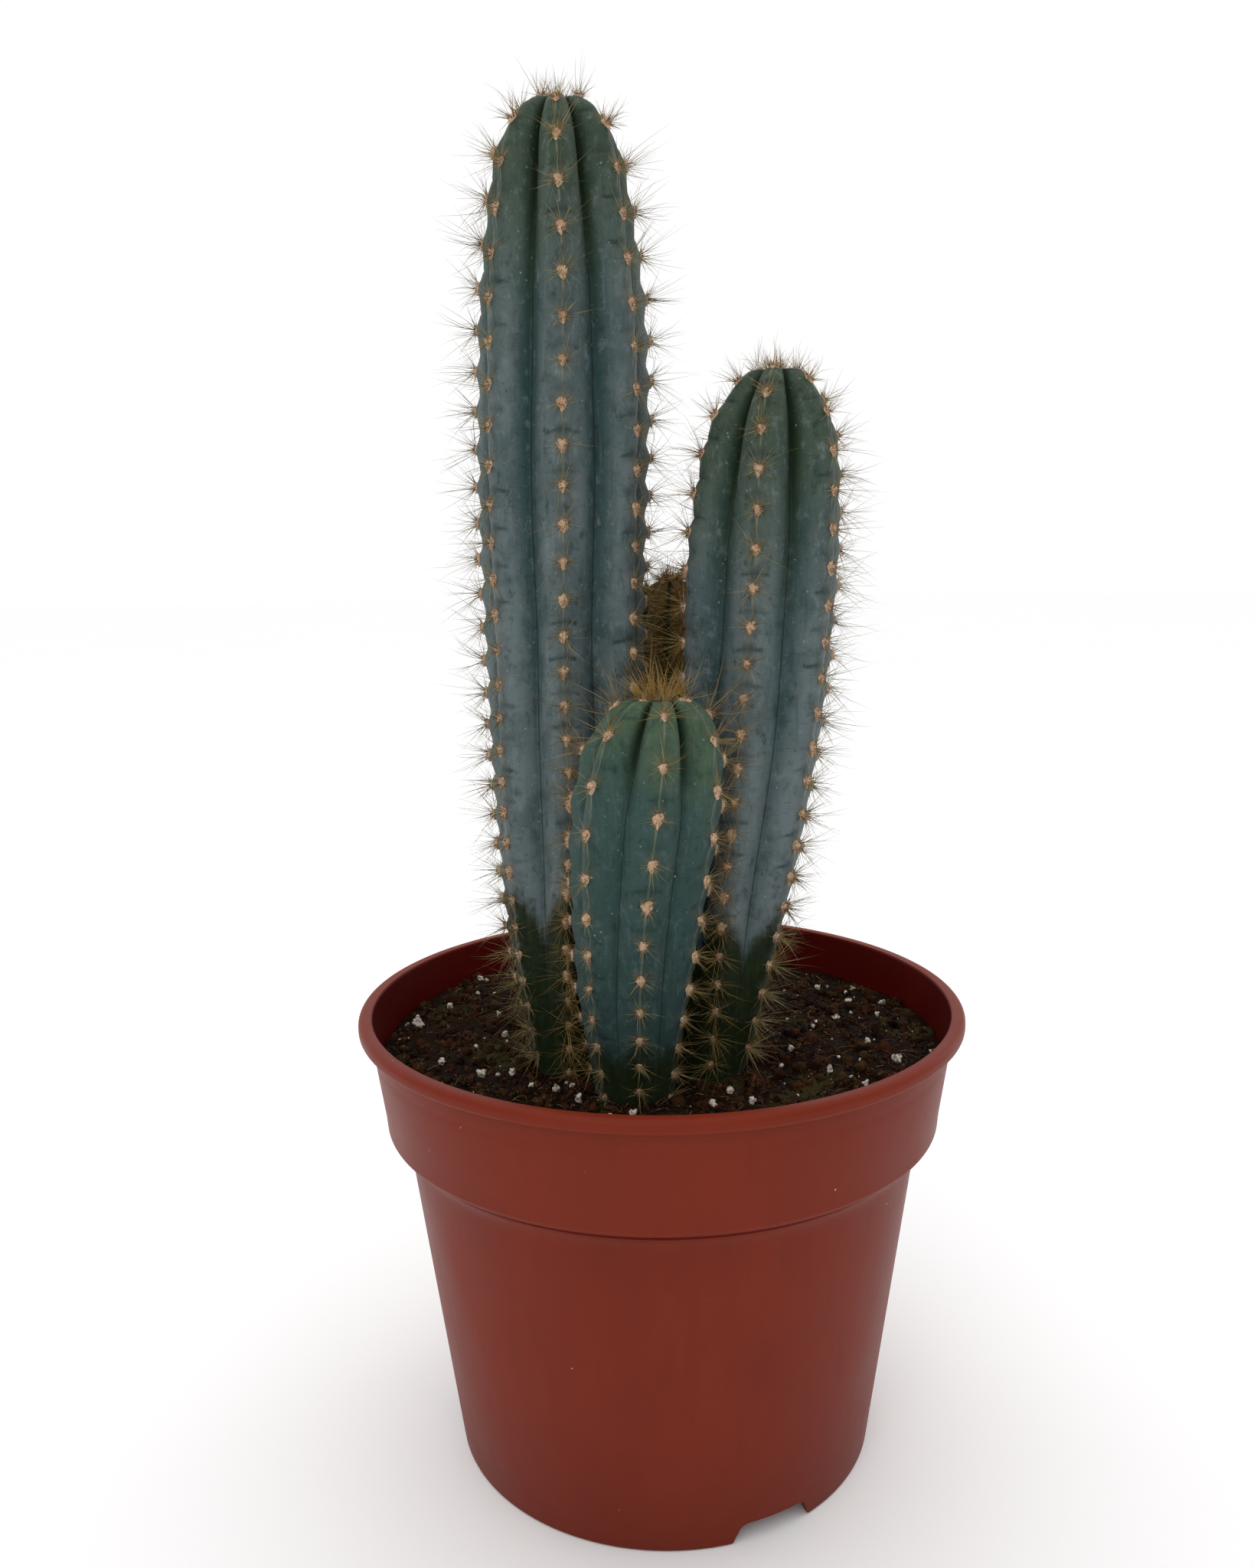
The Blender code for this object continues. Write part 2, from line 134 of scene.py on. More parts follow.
# ---------------------------------------------------------------- mesh and material helpers
def mesh_object(name, points, faces, finish, attributes=None, smooth=True):
    """A mesh piece from points in millimetres, with per-point vector attributes for its material."""
    mesh = bpy.data.meshes.new(name)
    mesh.from_pydata((np.asarray(points) * MM).tolist(), [], faces)
    for key, values in (attributes or {}).items():
        layer = mesh.attributes.new(key, "FLOAT_VECTOR", "POINT")
        layer.data.foreach_set("vector", np.asarray(values, np.float32).ravel())
    if smooth:
        mesh.shade_smooth()
    mesh.materials.append(finish)
    made = bpy.data.objects.new(name, mesh)
    bpy.context.scene.collection.objects.link(made)
    return made


def grid_faces(rows, columns):
    """Quads of a grid of points that closes on itself across its columns."""
    row = np.arange(rows - 1)[:, None] * columns
    column = np.arange(columns)[None, :]
    following = (column + 1) % columns
    quads = np.stack([row + column, row + following, row + columns + following, row + columns + column], -1)
    return quads.reshape(-1, 4).tolist()


def copied_faces(faces, count, points_each):
    """The faces of count copies of a shape whose points follow one another."""
    offset = (np.arange(count) * points_each)[:, None, None]
    return (faces[None] + offset).reshape(-1, faces.shape[1]).tolist()


def taken_from(work):
    """The points and faces of a bmesh, which is then freed."""
    points = np.array([vert.co[:] for vert in work.verts])
    faces = [[vert.index for vert in face.verts] for face in work.faces]
    work.free()
    return points, faces


def ball(subdivisions):
    """Points and triangles of an icosphere of radius 1."""
    work = bmesh.new()
    bmesh.ops.create_icosphere(work, subdivisions=subdivisions, radius=1.0)
    points, faces = taken_from(work)
    return points, np.array(faces)


def settle(piece, node=None):
    """Tie a piece to the body and hide the CAD node that it stands for."""
    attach(piece, "root")
    if node:
        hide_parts(node)


def capped_grid(rings):
    """Points and faces of a closed skin: rings of points from the bottom up, between two poles."""
    rows, columns = rings.shape[:2]
    points = np.concatenate([rings.reshape(-1, 3), [rings[0].mean(0)], [rings[-1].mean(0)]])
    faces = grid_faces(rows, columns)
    last = (rows - 1) * columns
    for column in range(columns):
        following = (column + 1) % columns
        faces.append([rows * columns, following, column])
        faces.append([rows * columns + 1, last + column, last + following])
    return points, faces


class Nodes:
    """A short way to write a node material: each call adds a node and links its inputs."""

    def __init__(self, name):
        self.material = bpy.data.materials.new(name)
        self.material.use_nodes = True
        self.tree = self.material.node_tree
        self.shader = self.tree.nodes["Principled BSDF"]
        self.base = None

    def link(self, value, socket):
        if isinstance(value, bpy.types.NodeSocket):
            self.tree.links.new(value, socket)
        else:
            socket.default_value = value

    def add(self, kind, output, inputs=(), **settings):
        node = self.tree.nodes.new(kind)
        for key, value in settings.items():
            setattr(node, key, value)
        for key, value in dict(inputs).items():
            self.link(value, node.inputs[key])
        return node.outputs[output]

    def place(self, stretch=(1.0, 1.0, 1.0)):
        """Object coordinates in millimetres, stretched by a factor on each axis."""
        scale = [1000.0 / value for value in stretch]
        own = self.add("ShaderNodeTexCoord", "Object")
        return self.add("ShaderNodeMapping", "Vector", {"Vector": own, "Scale": scale})

    def noise(self, size, stretch=(1.0, 1.0, 1.0), detail=3.0, rough=0.55, distortion=0.0):
        """Noise in 0 to 1 with features about size millimetres across."""
        inputs = {"Vector": self.place(stretch), "Scale": 1.0 / size, "Detail": detail}
        inputs.update({"Roughness": rough, "Distortion": distortion})
        return self.add("ShaderNodeTexNoise", "Fac", inputs)

    def cells(self, size):
        """Distance within Voronoi cells about size millimetres across."""
        inputs = {"Vector": self.place(), "Scale": 1.0 / size}
        return self.add("ShaderNodeTexVoronoi", "Distance", inputs)

    def ramp(self, value, low, high, low_out=0.0, high_out=1.0):
        """A smooth step of value from low to high."""
        inputs = {"Value": value, 1: low, 2: high, 3: low_out, 4: high_out}
        return self.add("ShaderNodeMapRange", "Result", inputs, interpolation_type="SMOOTHSTEP")

    def math(self, operation, first, second):
        return self.add("ShaderNodeMath", "Value", {0: first, 1: second}, operation=operation)

    def plus(self, first, second):
        return self.math("ADD", first, second)

    def times(self, first, second):
        return self.math("MULTIPLY", first, second)

    def shifted(self, value, field, reach):
        """A value moved up or down by a noise field, by half of reach at most."""
        return self.plus(value, self.times(self.math("SUBTRACT", field, 0.5), reach))

    def mix(self, share, first, second):
        inputs = {"Factor": share, 6: colour(first), 7: colour(second)}
        return self.add("ShaderNodeMix", 2, inputs, data_type="RGBA")

    def paint(self, share, tone):
        """Lay a share of a tone over the base painted so far."""
        self.base = self.mix(share, self.base, tone)

    def attribute(self, name):
        """The three numbers of a vector attribute."""
        found = self.add("ShaderNodeAttribute", "Vector", attribute_name=name)
        split = self.tree.nodes.new("ShaderNodeSeparateXYZ")
        self.link(found, split.inputs[0])
        return split.outputs[0], split.outputs[1], split.outputs[2]

    def bump(self, height, depth, before=None):
        """A bump whose heights are in millimetres times depth."""
        inputs = {"Height": height, "Strength": 1.0, "Distance": depth * MM}
        if before is not None:
            inputs["Normal"] = before
        return self.add("ShaderNodeBump", "Normal", inputs)

    def finish(self, roughness, normal=None, **constants):
        """Link the painted base, the roughness and the normal, and set the shader's constants."""
        self.link(self.base, self.shader.inputs["Base Color"])
        self.link(roughness, self.shader.inputs["Roughness"])
        if normal is not None:
            self.link(normal, self.shader.inputs["Normal"])
        for key, value in constants.items():
            self.shader.inputs[key.replace("_", " ")].default_value = value
        return self.material


def colour(value):
    """A colour socket as it is, or an sRGB triple in 0 to 255 as a linear colour."""
    if isinstance(value, bpy.types.NodeSocket):
        return value
    share = np.array(value, float) / 255.0
    linear = np.where(share <= 0.04045, share / 12.92, ((share + 0.055) / 1.055) ** 2.4)
    return (*linear.tolist(), 1.0)


# ---------------------------------------------------------------- stems: the ribbed surface
@dataclass(frozen=True)
class Stem:
    """One ribbed stem, with the CAD source's own driving numbers.

    foot, waist and tip are points on its axis. crest lists heights above the foot, each with the
    radius over the rib crests. spacing is the areoles' distance at the root and at the crown, and
    stagger the share of it that each rib's areoles stand above those of the rib before.
    """

    name: str
    ribs: int
    turn: float
    foot: tuple
    waist: tuple
    tip: tuple
    crest: tuple
    spacing: tuple
    stagger: float
    fold: float  # scales the depth of the furrows below the crown
    wax_line: float  # height above the foot where the waxy bloom ends
    wax_vee: float  # how much lower it ends in the furrows than on the crests
    columns_per_rib: int = 26
    rings_per_turn: int = 16

    def axis(self, z):
        """Axis points at heights z, on a parabola through foot, waist and tip."""
        z = np.asarray(z, float)
        ends = np.array([self.foot, self.waist, self.tip])
        found = np.zeros(z.shape + (3,))
        for here in range(3):
            before, after = (other for other in range(3) if other != here)
            share = (z - ends[before, 2]) * (z - ends[after, 2])
            share = share / ((ends[here, 2] - ends[before, 2]) * (ends[here, 2] - ends[after, 2]))
            found += share[..., None] * ends[here]
        found[..., 2] = z
        return found

    @cached_property
    def trace(self):
        """Distance travelled, radius and z close together along the outline, root to apex."""
        foot_radius = self.crest[0][1]
        outline = [(0.0, -ROOT_DEPTH), (0.45 * foot_radius, -0.9 * ROOT_DEPTH)]
        outline.append((0.8 * foot_radius, -0.4 * ROOT_DEPTH))
        outline += [(radius, height) for height, radius in self.crest]
        outline.append((0.0, self.tip[2] - self.foot[2]))
        points = np.array([outline[0], *outline, outline[-1]])
        t = np.arange(24)[:, None] / 24.0
        spans = []
        for p0, p1, p2, p3 in zip(points, points[1:], points[2:], points[3:]):
            curve = 2 * p1 + (p2 - p0) * t + (2 * p0 - 5 * p1 + 4 * p2 - p3) * t**2
            spans.append(0.5 * (curve + (3 * p1 - p0 - 3 * p2 + p3) * t**3))
        found = np.concatenate([*spans, points[-1:]])
        travelled = np.concatenate([[0.0], np.cumsum(np.linalg.norm(np.diff(found, axis=0), axis=1))])
        return travelled, np.maximum(found[:, 0], 0.0), found[:, 1] + self.foot[2]

    @cached_property
    def spread(self):
        return (self.spacing[1] - self.spacing[0]) / self.trace[0][-1]

    @cached_property
    def turns(self):
        """The number of areole spacings from the root's end to the apex."""
        return math.log(self.spacing[1] / self.spacing[0]) / self.spread

    def distance(self, turns):
        return self.spacing[0] * (np.exp(self.spread * turns) - 1.0) / self.spread

    def turns_at(self, z):
        """Areole spacings from the root's end up to height z."""
        travelled, _, height = self.trace
        along = np.interp(z, height, travelled)
        return np.log(1.0 + self.spread * along / self.spacing[0]) / self.spread

    def profile(self, turns):
        """Crest radius and z after a number of areole spacings."""
        travelled, radius, z = self.trace
        along = self.distance(turns)
        return np.interp(along, travelled, radius), np.interp(along, travelled, z)

    def rib_place(self, turns, azimuth):
        """Where points lie on their rib.

        Gives their closeness to the crest, the millimetres across from it, the share of the way up
        from the areole below, the millimetres from that areole's pinch, and how clearly the pinch
        shows, from 0 to 1, which differs for every one of them.
        """
        place = (azimuth - self.turn) * self.ribs / 360.0
        rib = np.round(place)
        closeness = np.abs(np.cos(math.pi * (place - rib)))
        across = np.abs(place - rib) * 2.0 * math.pi / self.ribs * self.profile(turns)[0]
        climbed = turns - (rib % self.ribs) * self.stagger
        count, up = np.floor(climbed), climbed % 1.0
        spacing = self.spacing[0] + self.spread * self.distance(turns)
        pinch = np.abs(up - NOTCH_PLACE + PINCH_DROOP * across) * spacing
        wave = np.sin(2.4 * count + 1.7 * (rib % self.ribs) + self.ribs) + np.sin(5.3 * count - 0.9 * rib)
        return closeness, across, up, pinch, smoothstep(-1.1, 1.0, wave)

    def skin(self, turns, azimuth):
        """Points of the skin after areole spacings from the root and at azimuths in degrees."""
        turns, azimuth = np.broadcast_arrays(np.asarray(turns, float), np.asarray(azimuth, float))
        crest_radius, z = self.profile(turns)
        closeness, across, up, pinch, strength = self.rib_place(turns, azimuth)
        above, below_tip = z - self.foot[2], self.tip[2] - z
        depth = FOOT_FURROW + BODY_FURROW * self.fold * smoothstep(-2.0, 45.0, above)
        depth = depth + CROWN_FURROW * (1.0 - smoothstep(4.0, 50.0 * self.fold**2, below_tip))
        # Straight flanks with a rounded crest low down; broad crests and narrow furrows at the top.
        slope = np.arccos(closeness) / (math.pi / 2.0)
        straight = np.hypot(slope, CREST_ROUNDING) - CREST_ROUNDING
        straight = straight / (math.hypot(1.0, CREST_ROUNDING) - CREST_ROUNDING)
        young = 1.0 - smoothstep(6.0, 48.0 * self.fold**2, below_tip)
        fallen = straight * (1.0 - young) + (1.0 - closeness**0.6) * young
        rounded = smoothstep(0.0, 30.0, above) * smoothstep(0.0, 10.0, below_tip)
        # Each tubercle swells up to its areole and drops back sharply into the pinch above it.
        falling, rising = 1.0 - smoothstep(0.0, NOTCH_PLACE, up), smoothstep(NOTCH_PLACE, 1.0, up)
        swell = np.where(up < NOTCH_PLACE, falling, rising)
        swelling = TUBERCLE_SWELL * (swell - 0.5) * closeness**7 * rounded
        radius = crest_radius * (1.0 - depth * fallen + swelling)
        cut = np.exp(-((pinch / PINCH_WIDTH) ** 2)) * (1.0 - smoothstep(3.0, 6.0, across)) * rounded
        radius -= PINCH_DEPTH * cut * strength
        radius -= 0.35 * np.exp(-((closeness / 0.06) ** 2)) * smoothstep(5.0, 40.0, above)
        sway = 1.3 * np.sin(np.radians(azimuth) * 2.0 + 0.5 * turns + self.ribs)
        sway += 0.8 * np.sin(np.radians(azimuth) * 3.0 - 0.83 * turns)
        bulge = 0.012 * np.sin(0.45 * turns + np.radians(azimuth)) * rounded
        return self.axis(z) + spoke(azimuth + sway) * (radius * (1.0 + bulge))[..., None]

    def frames(self, turns, azimuth):
        """Skin points with their outward, upward and sideways unit vectors."""
        here = self.skin(turns, azimuth)
        up = unit(self.skin(turns + 0.06, azimuth) - self.skin(turns - 0.06, azimuth))
        side = unit(self.skin(turns, azimuth + 2.0) - self.skin(turns, azimuth - 2.0))
        return here, unit(np.cross(side, up)), up, side

    @cached_property
    def areoles(self):
        """Turns and azimuths of every areole, rib by rib, from the soil to just under the apex."""
        found = []
        first = float(self.turns_at(self.foot[2] + 1.5))
        for rib in range(self.ribs):
            phase = (rib * self.stagger) % 1.0
            for count in range(int(self.turns) + 1):
                turns = count + phase
                to_apex = self.trace[0][-1] - self.distance(turns)
                if turns > first and to_apex > 4.0:
                    found.append((turns, self.turn + 360.0 * rib / self.ribs))
        return np.array(found)


STEMS = (
    Stem(
        name="tall_stem",
        ribs=7,
        turn=3.5,
        foot=(-25.2, -18.0, 116.0),
        waist=(-24.6, -7.0, 200.0),
        tip=(-23.5, -3.0, 367.4),
        crest=(
            (0, 9.8), (17, 13.0), (34, 16.4), (58, 19.4), (85, 21.5), (125, 22.4), (172, 23.3),
            (200, 22.6), (218, 20.6), (232, 18.4), (241, 16.3), (248, 12.0), (250.8, 8.6), (251.8, 5.8),
        ),
        spacing=(6.2, 11.85),
        stagger=0.43,
        fold=1.0,
        wax_line=44.0,
        wax_vee=12.0,
    ),
    Stem(
        name="right_stem",
        ribs=6,
        turn=-12.0,
        foot=(14.2, -22.0, 116.5),
        waist=(24.9, -12.0, 205.0),
        tip=(31.8, -8.0, 299.8),
        crest=(
            (0, 9.2), (17, 11.8), (37, 14.9), (58, 17.5), (85, 19.2), (110, 20.4), (135, 21.2),
            (152, 20.3), (163, 18.9), (172, 16.2), (179.5, 11.3), (182.8, 8.2), (183.8, 5.6),
        ),
        spacing=(6.8, 10.6),
        stagger=0.5,
        fold=1.0,
        wax_line=38.0,
        wax_vee=12.0,
    ),
    Stem(
        name="front_stem",
        ribs=7,
        turn=6.0,
        foot=(-6.6, -36.0, 115.0),
        waist=(-4.9, -41.0, 167.0),
        tip=(0.6, -44.0, 218.9),
        crest=(
            (0, 10.4), (14, 12.4), (30, 14.9), (52, 17.3), (72, 18.9), (85, 18.5), (94, 16.6),
            (100, 13.2), (103.1, 10.0), (104.3, 7.4),
        ),
        spacing=(5.1, 14.05),
        stagger=0.43,
        fold=0.75,
        wax_line=15.0,
        wax_vee=3.0,
    ),
    Stem(
        name="rear_stem",
        ribs=7,
        turn=20.0,
        foot=(2.0, 9.0, 117.0),
        waist=(3.0, 16.0, 180.0),
        tip=(4.6, 20.0, 247.0),
        crest=(
            (0, 7.6), (18, 9.6), (45, 11.8), (75, 13.4), (98, 13.6), (114, 12.4), (124, 9.4),
            (129, 5.2),
        ),
        spacing=(7.0, 9.0),
        stagger=0.43,
        fold=1.0,
        wax_line=20.0,
        wax_vee=4.0,
        columns_per_rib=16,
        rings_per_turn=12,
    ),
)


def depth_in_others(own, points):
    """How far points reach inside the crests of the other stems, negative when clear of them."""
    deepest = np.full(len(points), -1e9)
    for stem in STEMS:
        if stem is own:
            continue
        _, radius, z = stem.trace
        rising = np.maximum.accumulate(z)
        crest = np.interp(points[:, 2], rising, radius, right=-50.0)
        away = np.linalg.norm((points - stem.axis(points[:, 2]))[:, :2], axis=1)
        deepest = np.maximum(deepest, crest - away)
    return deepest


# ---------------------------------------------------------------- materials
def skin_material(name, tones, wax_share, line_share, crown_reach, furrow_shade_reach):
    """Waxy ribbed skin: bloom on the crests, painted shade in the pinches and furrows, bare green at the
    foot.

    crown_reach and furrow_shade_reach say how far below the tip the crown's tone and the painted shade in
    the deep young furrows go, in millimetres.
    """
    crest_tone, flank_tone, dark_mark_and_furrow_shade_tone, crown_tone, bare_tone, low_wax_and_shade_tone, rubbed_tone = tones
    n = Nodes(name)
    across, pinch, below = n.attribute("rib")
    above, to_tip, furrow = n.attribute("zone")
    pinched, _, _ = n.attribute("pinched")
    broad = n.noise(15.0, stretch=(1.0, 1.0, 2.2))
    patchy = n.noise(2.6, stretch=(1.0, 1.0, 1.5), detail=6.0, rough=0.7)
    fine = n.noise(0.5, detail=4.0, rough=0.7)
    streaks = n.noise(0.9, stretch=(1.0, 1.0, 16.0), detail=3.0)
    ticks = n.noise(0.7, stretch=(5.0, 5.0, 0.5), detail=3.0, rough=0.6)
    blotchy = n.noise(5.0, stretch=(1.0, 1.0, 1.4), detail=4.0, rough=0.6)

    # Crest bands are greyer and paler than the flanks.
    worn = n.shifted(across, patchy, 7.0)
    on_crest = n.ramp(worn, 4.0, 9.0, 1.0, 0.0)
    n.base = n.mix(on_crest, flank_tone, crest_tone)
    # A low band: paler wax on the blue-green stems, painted shade on the teal front stem, darker on the
    # olive one.
    n.paint(n.ramp(above, 5.0, 130.0, 0.6, 0.0), low_wax_and_shade_tone)
    n.paint(n.ramp(broad, 0.4, 0.72, 0.0, 0.5), flank_tone)
    crown = n.ramp(n.plus(to_tip, n.times(broad, 40.0)), 24.0, crown_reach, 0.92, 0.0)
    n.paint(crown, crown_tone)
    # Larger darker blotches where the bloom has rubbed off, mostly on the flanks.
    rubbed = n.times(n.ramp(blotchy, 0.48, 0.64), n.math("SUBTRACT", 0.5, n.times(on_crest, 0.25)))
    n.paint(rubbed, rubbed_tone)
    # Dusty wax in small pale patches, with bare darker ones between.
    n.paint(n.ramp(patchy, 0.52, 0.74, 0.0, wax_share), (128, 136, 138))
    n.paint(n.ramp(patchy, 0.3, 0.48, 0.6, 0.0), dark_mark_and_furrow_shade_tone)
    n.paint(n.ramp(streaks, 0.52, 0.8, 0.0, 0.3), dark_mark_and_furrow_shade_tone)
    n.paint(n.ramp(streaks, 0.2, 0.42, 0.22, 0.0), (112, 126, 132))
    n.paint(n.ramp(ticks, 0.58, 0.76, 0.0, 0.45), dark_mark_and_furrow_shade_tone)
    # Painted shade: a thin dark line along the bottom of every furrow.
    n.paint(n.ramp(furrow, 0.0, 0.06, 0.75, 0.0), dark_mark_and_furrow_shade_tone)
    # Painted shade: dark green in the deep young furrows near the crown.
    young = n.ramp(to_tip, 0.2 * furrow_shade_reach, furrow_shade_reach, 0.9, 0.0)
    n.paint(n.times(young, n.ramp(furrow, 0.1, 0.55, 1.0, 0.0)), (19, 38, 14))
    # Painted shade in the pinch between two areoles: a dark cross line that breaks up towards its ends.
    frayed = n.shifted(pinch, patchy, 1.6)
    pinch_shade = n.times(n.ramp(frayed, 0.1, 0.8, 0.7, 0.0), pinched)
    pinch_shade = n.times(pinch_shade, n.ramp(across, 0.6, 3.0, 0.45, 1.0))
    reach = n.ramp(n.plus(across, n.times(patchy, 4.0)), 4.6, 7.4, 1.0, 0.0)
    n.paint(n.times(pinch_shade, reach), (22, 40, 36))
    # A darker bare patch above each areole, on the crest itself.
    patch = n.times(n.ramp(pinch, 0.4, 2.6, 0.7, 0.0), n.ramp(across, 0.6, 3.0, 1.0, 0.0))
    patch = n.times(patch, n.plus(n.times(pinched, 0.6), 0.25))
    n.paint(n.times(patch, n.ramp(patchy, 0.25, 0.6)), (26, 48, 46))
    # A pale scar runs down the crest from each areole.
    thin = n.ramp(n.plus(across, n.times(fine, 0.2)), 0.2, 0.5, 1.0, 0.0)
    short = n.ramp(below, 0.3, 0.55, 0.6, line_share)
    n.paint(n.times(thin, short), (124, 122, 96))
    tan = n.times(n.ramp(across, 0.6, 3.0, 0.5, 0.0), n.ramp(below, 0.66, 0.97))
    n.paint(n.times(tan, n.ramp(fine, 0.3, 0.6)), (112, 90, 52))
    # Pale specks of wax.
    specks = n.ramp(n.cells(2.6), 0.05, 0.16, 0.55, 0.0)
    n.paint(n.times(specks, n.ramp(streaks, 0.5, 0.62)), (150, 164, 164))
    blots = n.ramp(n.noise(1.5, detail=3.0, rough=0.6), 0.66, 0.75, 0.0, 0.5)
    n.paint(n.times(blots, n.ramp(broad, 0.4, 0.6)), (122, 138, 136))
    # The bloom ends in a V at the foot, lowest in the furrows.
    edge = n.shifted(above, patchy, 9.0)
    edge = n.shifted(edge, streaks, 7.0)
    bare = n.ramp(edge, -4.5, 5.0, 1.0, 0.0)
    green = n.mix(n.ramp(streaks, 0.35, 0.7, 0.0, 0.7), bare_tone, (38, 50, 18))
    green = n.mix(n.ramp(patchy, 0.35, 0.7, 0.0, 0.6), green, (13, 21, 8))
    n.paint(bare, green)

    height = n.plus(n.times(ticks, 0.10), n.times(patchy, 0.16))
    normal = n.bump(n.plus(height, n.times(streaks, 0.12)), 1.0)
    normal = n.bump(n.times(fine, 0.045), 1.0, normal)
    rough = n.ramp(n.plus(fine, n.times(bare, -0.4)), 0.1, 0.8, 0.45, 0.7)
    return n.finish(rough, normal, Specular_IOR_Level=0.13, Sheen_Weight=0.04, Sheen_Roughness=0.6)


def wool_material():
    """Felt of short peach-coloured and tan hairs."""
    n = Nodes("areole_wool")
    tone, age, _ = n.attribute("tone")
    strands = n.noise(0.25, stretch=(1.0, 1.0, 2.5), detail=4.0, rough=0.7)
    n.base = n.mix(n.ramp(strands, 0.3, 0.7), (172, 134, 100), (230, 198, 168))
    n.paint(n.ramp(tone, 0.4, 1.0, 0.0, 0.5), (206, 164, 128))
    n.paint(n.ramp(age, 0.4, 1.0, 0.0, 0.7), (168, 134, 74))
    normal = n.bump(n.times(strands, 0.2), 1.0)
    return n.finish(0.95, normal, Specular_IOR_Level=0.1, Sheen_Weight=0.25, Sheen_Roughness=0.6)


def spine_material():
    """Horn: straw to honey brown, with a tan foot and a darker tip."""
    n = Nodes("spine_horn")
    along, tone, rust = n.attribute("needle")
    grain = n.noise(0.5, stretch=(1.0, 1.0, 3.0), detail=2.0)
    n.base = n.mix(n.plus(tone, n.times(grain, 0.3)), (60, 49, 27), (166, 148, 94))
    n.paint(n.times(rust, 0.9), (184, 132, 44))
    n.paint(n.ramp(along, 0.0, 0.25, 0.5, 0.0), (150, 122, 58))
    dark_end = n.times(n.ramp(along, 0.4, 0.9, 0.0, 0.75), n.ramp(rust, 0.3, 0.9, 1.0, 0.35))
    n.paint(dark_end, (52, 38, 26))
    return n.finish(0.42, Specular_IOR_Level=0.35)


def soil_material(name, dark, mid, pale):
    """Moist peat: dark crumbs, reddish and tan bits, and a hint of moss."""
    n = Nodes(name)
    tone, moss, _ = n.attribute("tone")
    clumps = n.noise(4.5, detail=5.0, rough=0.65)
    grit = n.noise(0.7, detail=5.0, rough=0.75)
    n.base = n.mix(n.ramp(clumps, 0.35, 0.7), dark, mid)
    n.paint(n.times(n.ramp(grit, 0.5, 0.8), n.ramp(tone, 0.2, 1.0)), pale)
    n.paint(n.ramp(moss, 0.62, 1.0, 0.0, 0.6), (60, 56, 24))
    height = n.plus(n.times(grit, 0.5), n.times(clumps, 0.6))
    wet = n.ramp(clumps, 0.3, 0.6, 0.62, 0.95)
    return n.finish(wet, n.bump(height, 0.9), Specular_IOR_Level=0.08)


def fibre_material():
    n = Nodes("peat_fibre")
    along, tone, _ = n.attribute("needle")
    strands = n.noise(0.6, detail=3.0)
    n.base = n.mix(n.times(tone, n.ramp(strands, 0.2, 0.7)), (46, 31, 20), (140, 112, 72))
    n.paint(n.ramp(along, 0.6, 1.0, 0.0, 0.4), (36, 24, 16))
    return n.finish(0.85, Specular_IOR_Level=0.2)


def perlite_material():
    """Foamed volcanic glass: off-white, pitted, stained by the peat."""
    n = Nodes("perlite_foam")
    pits = n.cells(0.4)
    stain = n.noise(1.3, detail=4.0)
    n.base = n.mix(n.ramp(pits, 0.1, 0.5), (112, 100, 84), (206, 198, 184))
    n.paint(n.ramp(stain, 0.46, 0.64, 0.0, 0.8), (88, 64, 42))
    normal = n.bump(n.times(n.ramp(pits, 0.0, 0.5), 0.16), 1.0)
    return n.finish(0.85, normal, Specular_IOR_Level=0.25)


def pot_material(name, light, mid, dark, specular):
    """Injection-moulded terracotta plastic: satin, faintly mottled, with dust, scuffs and marks, painted
    shade towards the foot and a painted lighter collar.
    """
    n = Nodes(name)
    up, _, _ = n.attribute("wall")
    mottle = n.noise(26.0, stretch=(1.0, 1.0, 1.6), detail=4.0, rough=0.5)
    flow = n.noise(5.0, stretch=(1.0, 1.0, 7.0), detail=3.0)
    drawn = n.noise(1.0, stretch=(60.0, 60.0, 0.5), detail=2.0)
    peel = n.noise(0.7, detail=2.0)
    n.base = n.mix(n.ramp(mottle, 0.3, 0.72), mid, light)
    n.paint(n.ramp(flow, 0.45, 0.8, 0.0, 0.35), dark)
    # Painted shade: darker towards the foot.
    n.paint(n.ramp(up, 0.0, 0.35, 0.45, 0.0), dark)
    # Painted light: the collar lighter than the wall below it.
    n.paint(n.ramp(up, 0.72, 0.78, 0.0, 0.35), light)
    dust = n.times(n.ramp(n.noise(0.9, detail=6.0, rough=0.8), 0.6, 0.8), n.ramp(mottle, 0.4, 0.7))
    n.paint(n.times(dust, 0.2), (186, 140, 122))
    specks = n.times(n.ramp(n.cells(9.0), 0.02, 0.045, 1.0, 0.0), n.ramp(flow, 0.5, 0.6))
    n.paint(n.times(specks, 0.7), (214, 200, 186))
    scuffs = n.ramp(n.noise(2.2, stretch=(6.0, 6.0, 0.5), detail=5.0, rough=0.7, distortion=0.6), 0.66, 0.8)
    n.paint(n.times(scuffs, 0.2), (164, 96, 78))
    height = n.plus(n.times(drawn, 0.02), n.times(peel, 0.014))
    normal = n.bump(n.plus(height, n.times(mottle, 0.25)), 1.0)
    rough = n.ramp(n.plus(mottle, n.times(dust, 0.5)), 0.2, 1.1, 0.4, 0.62)
    return n.finish(rough, normal, Specular_IOR_Level=specular)


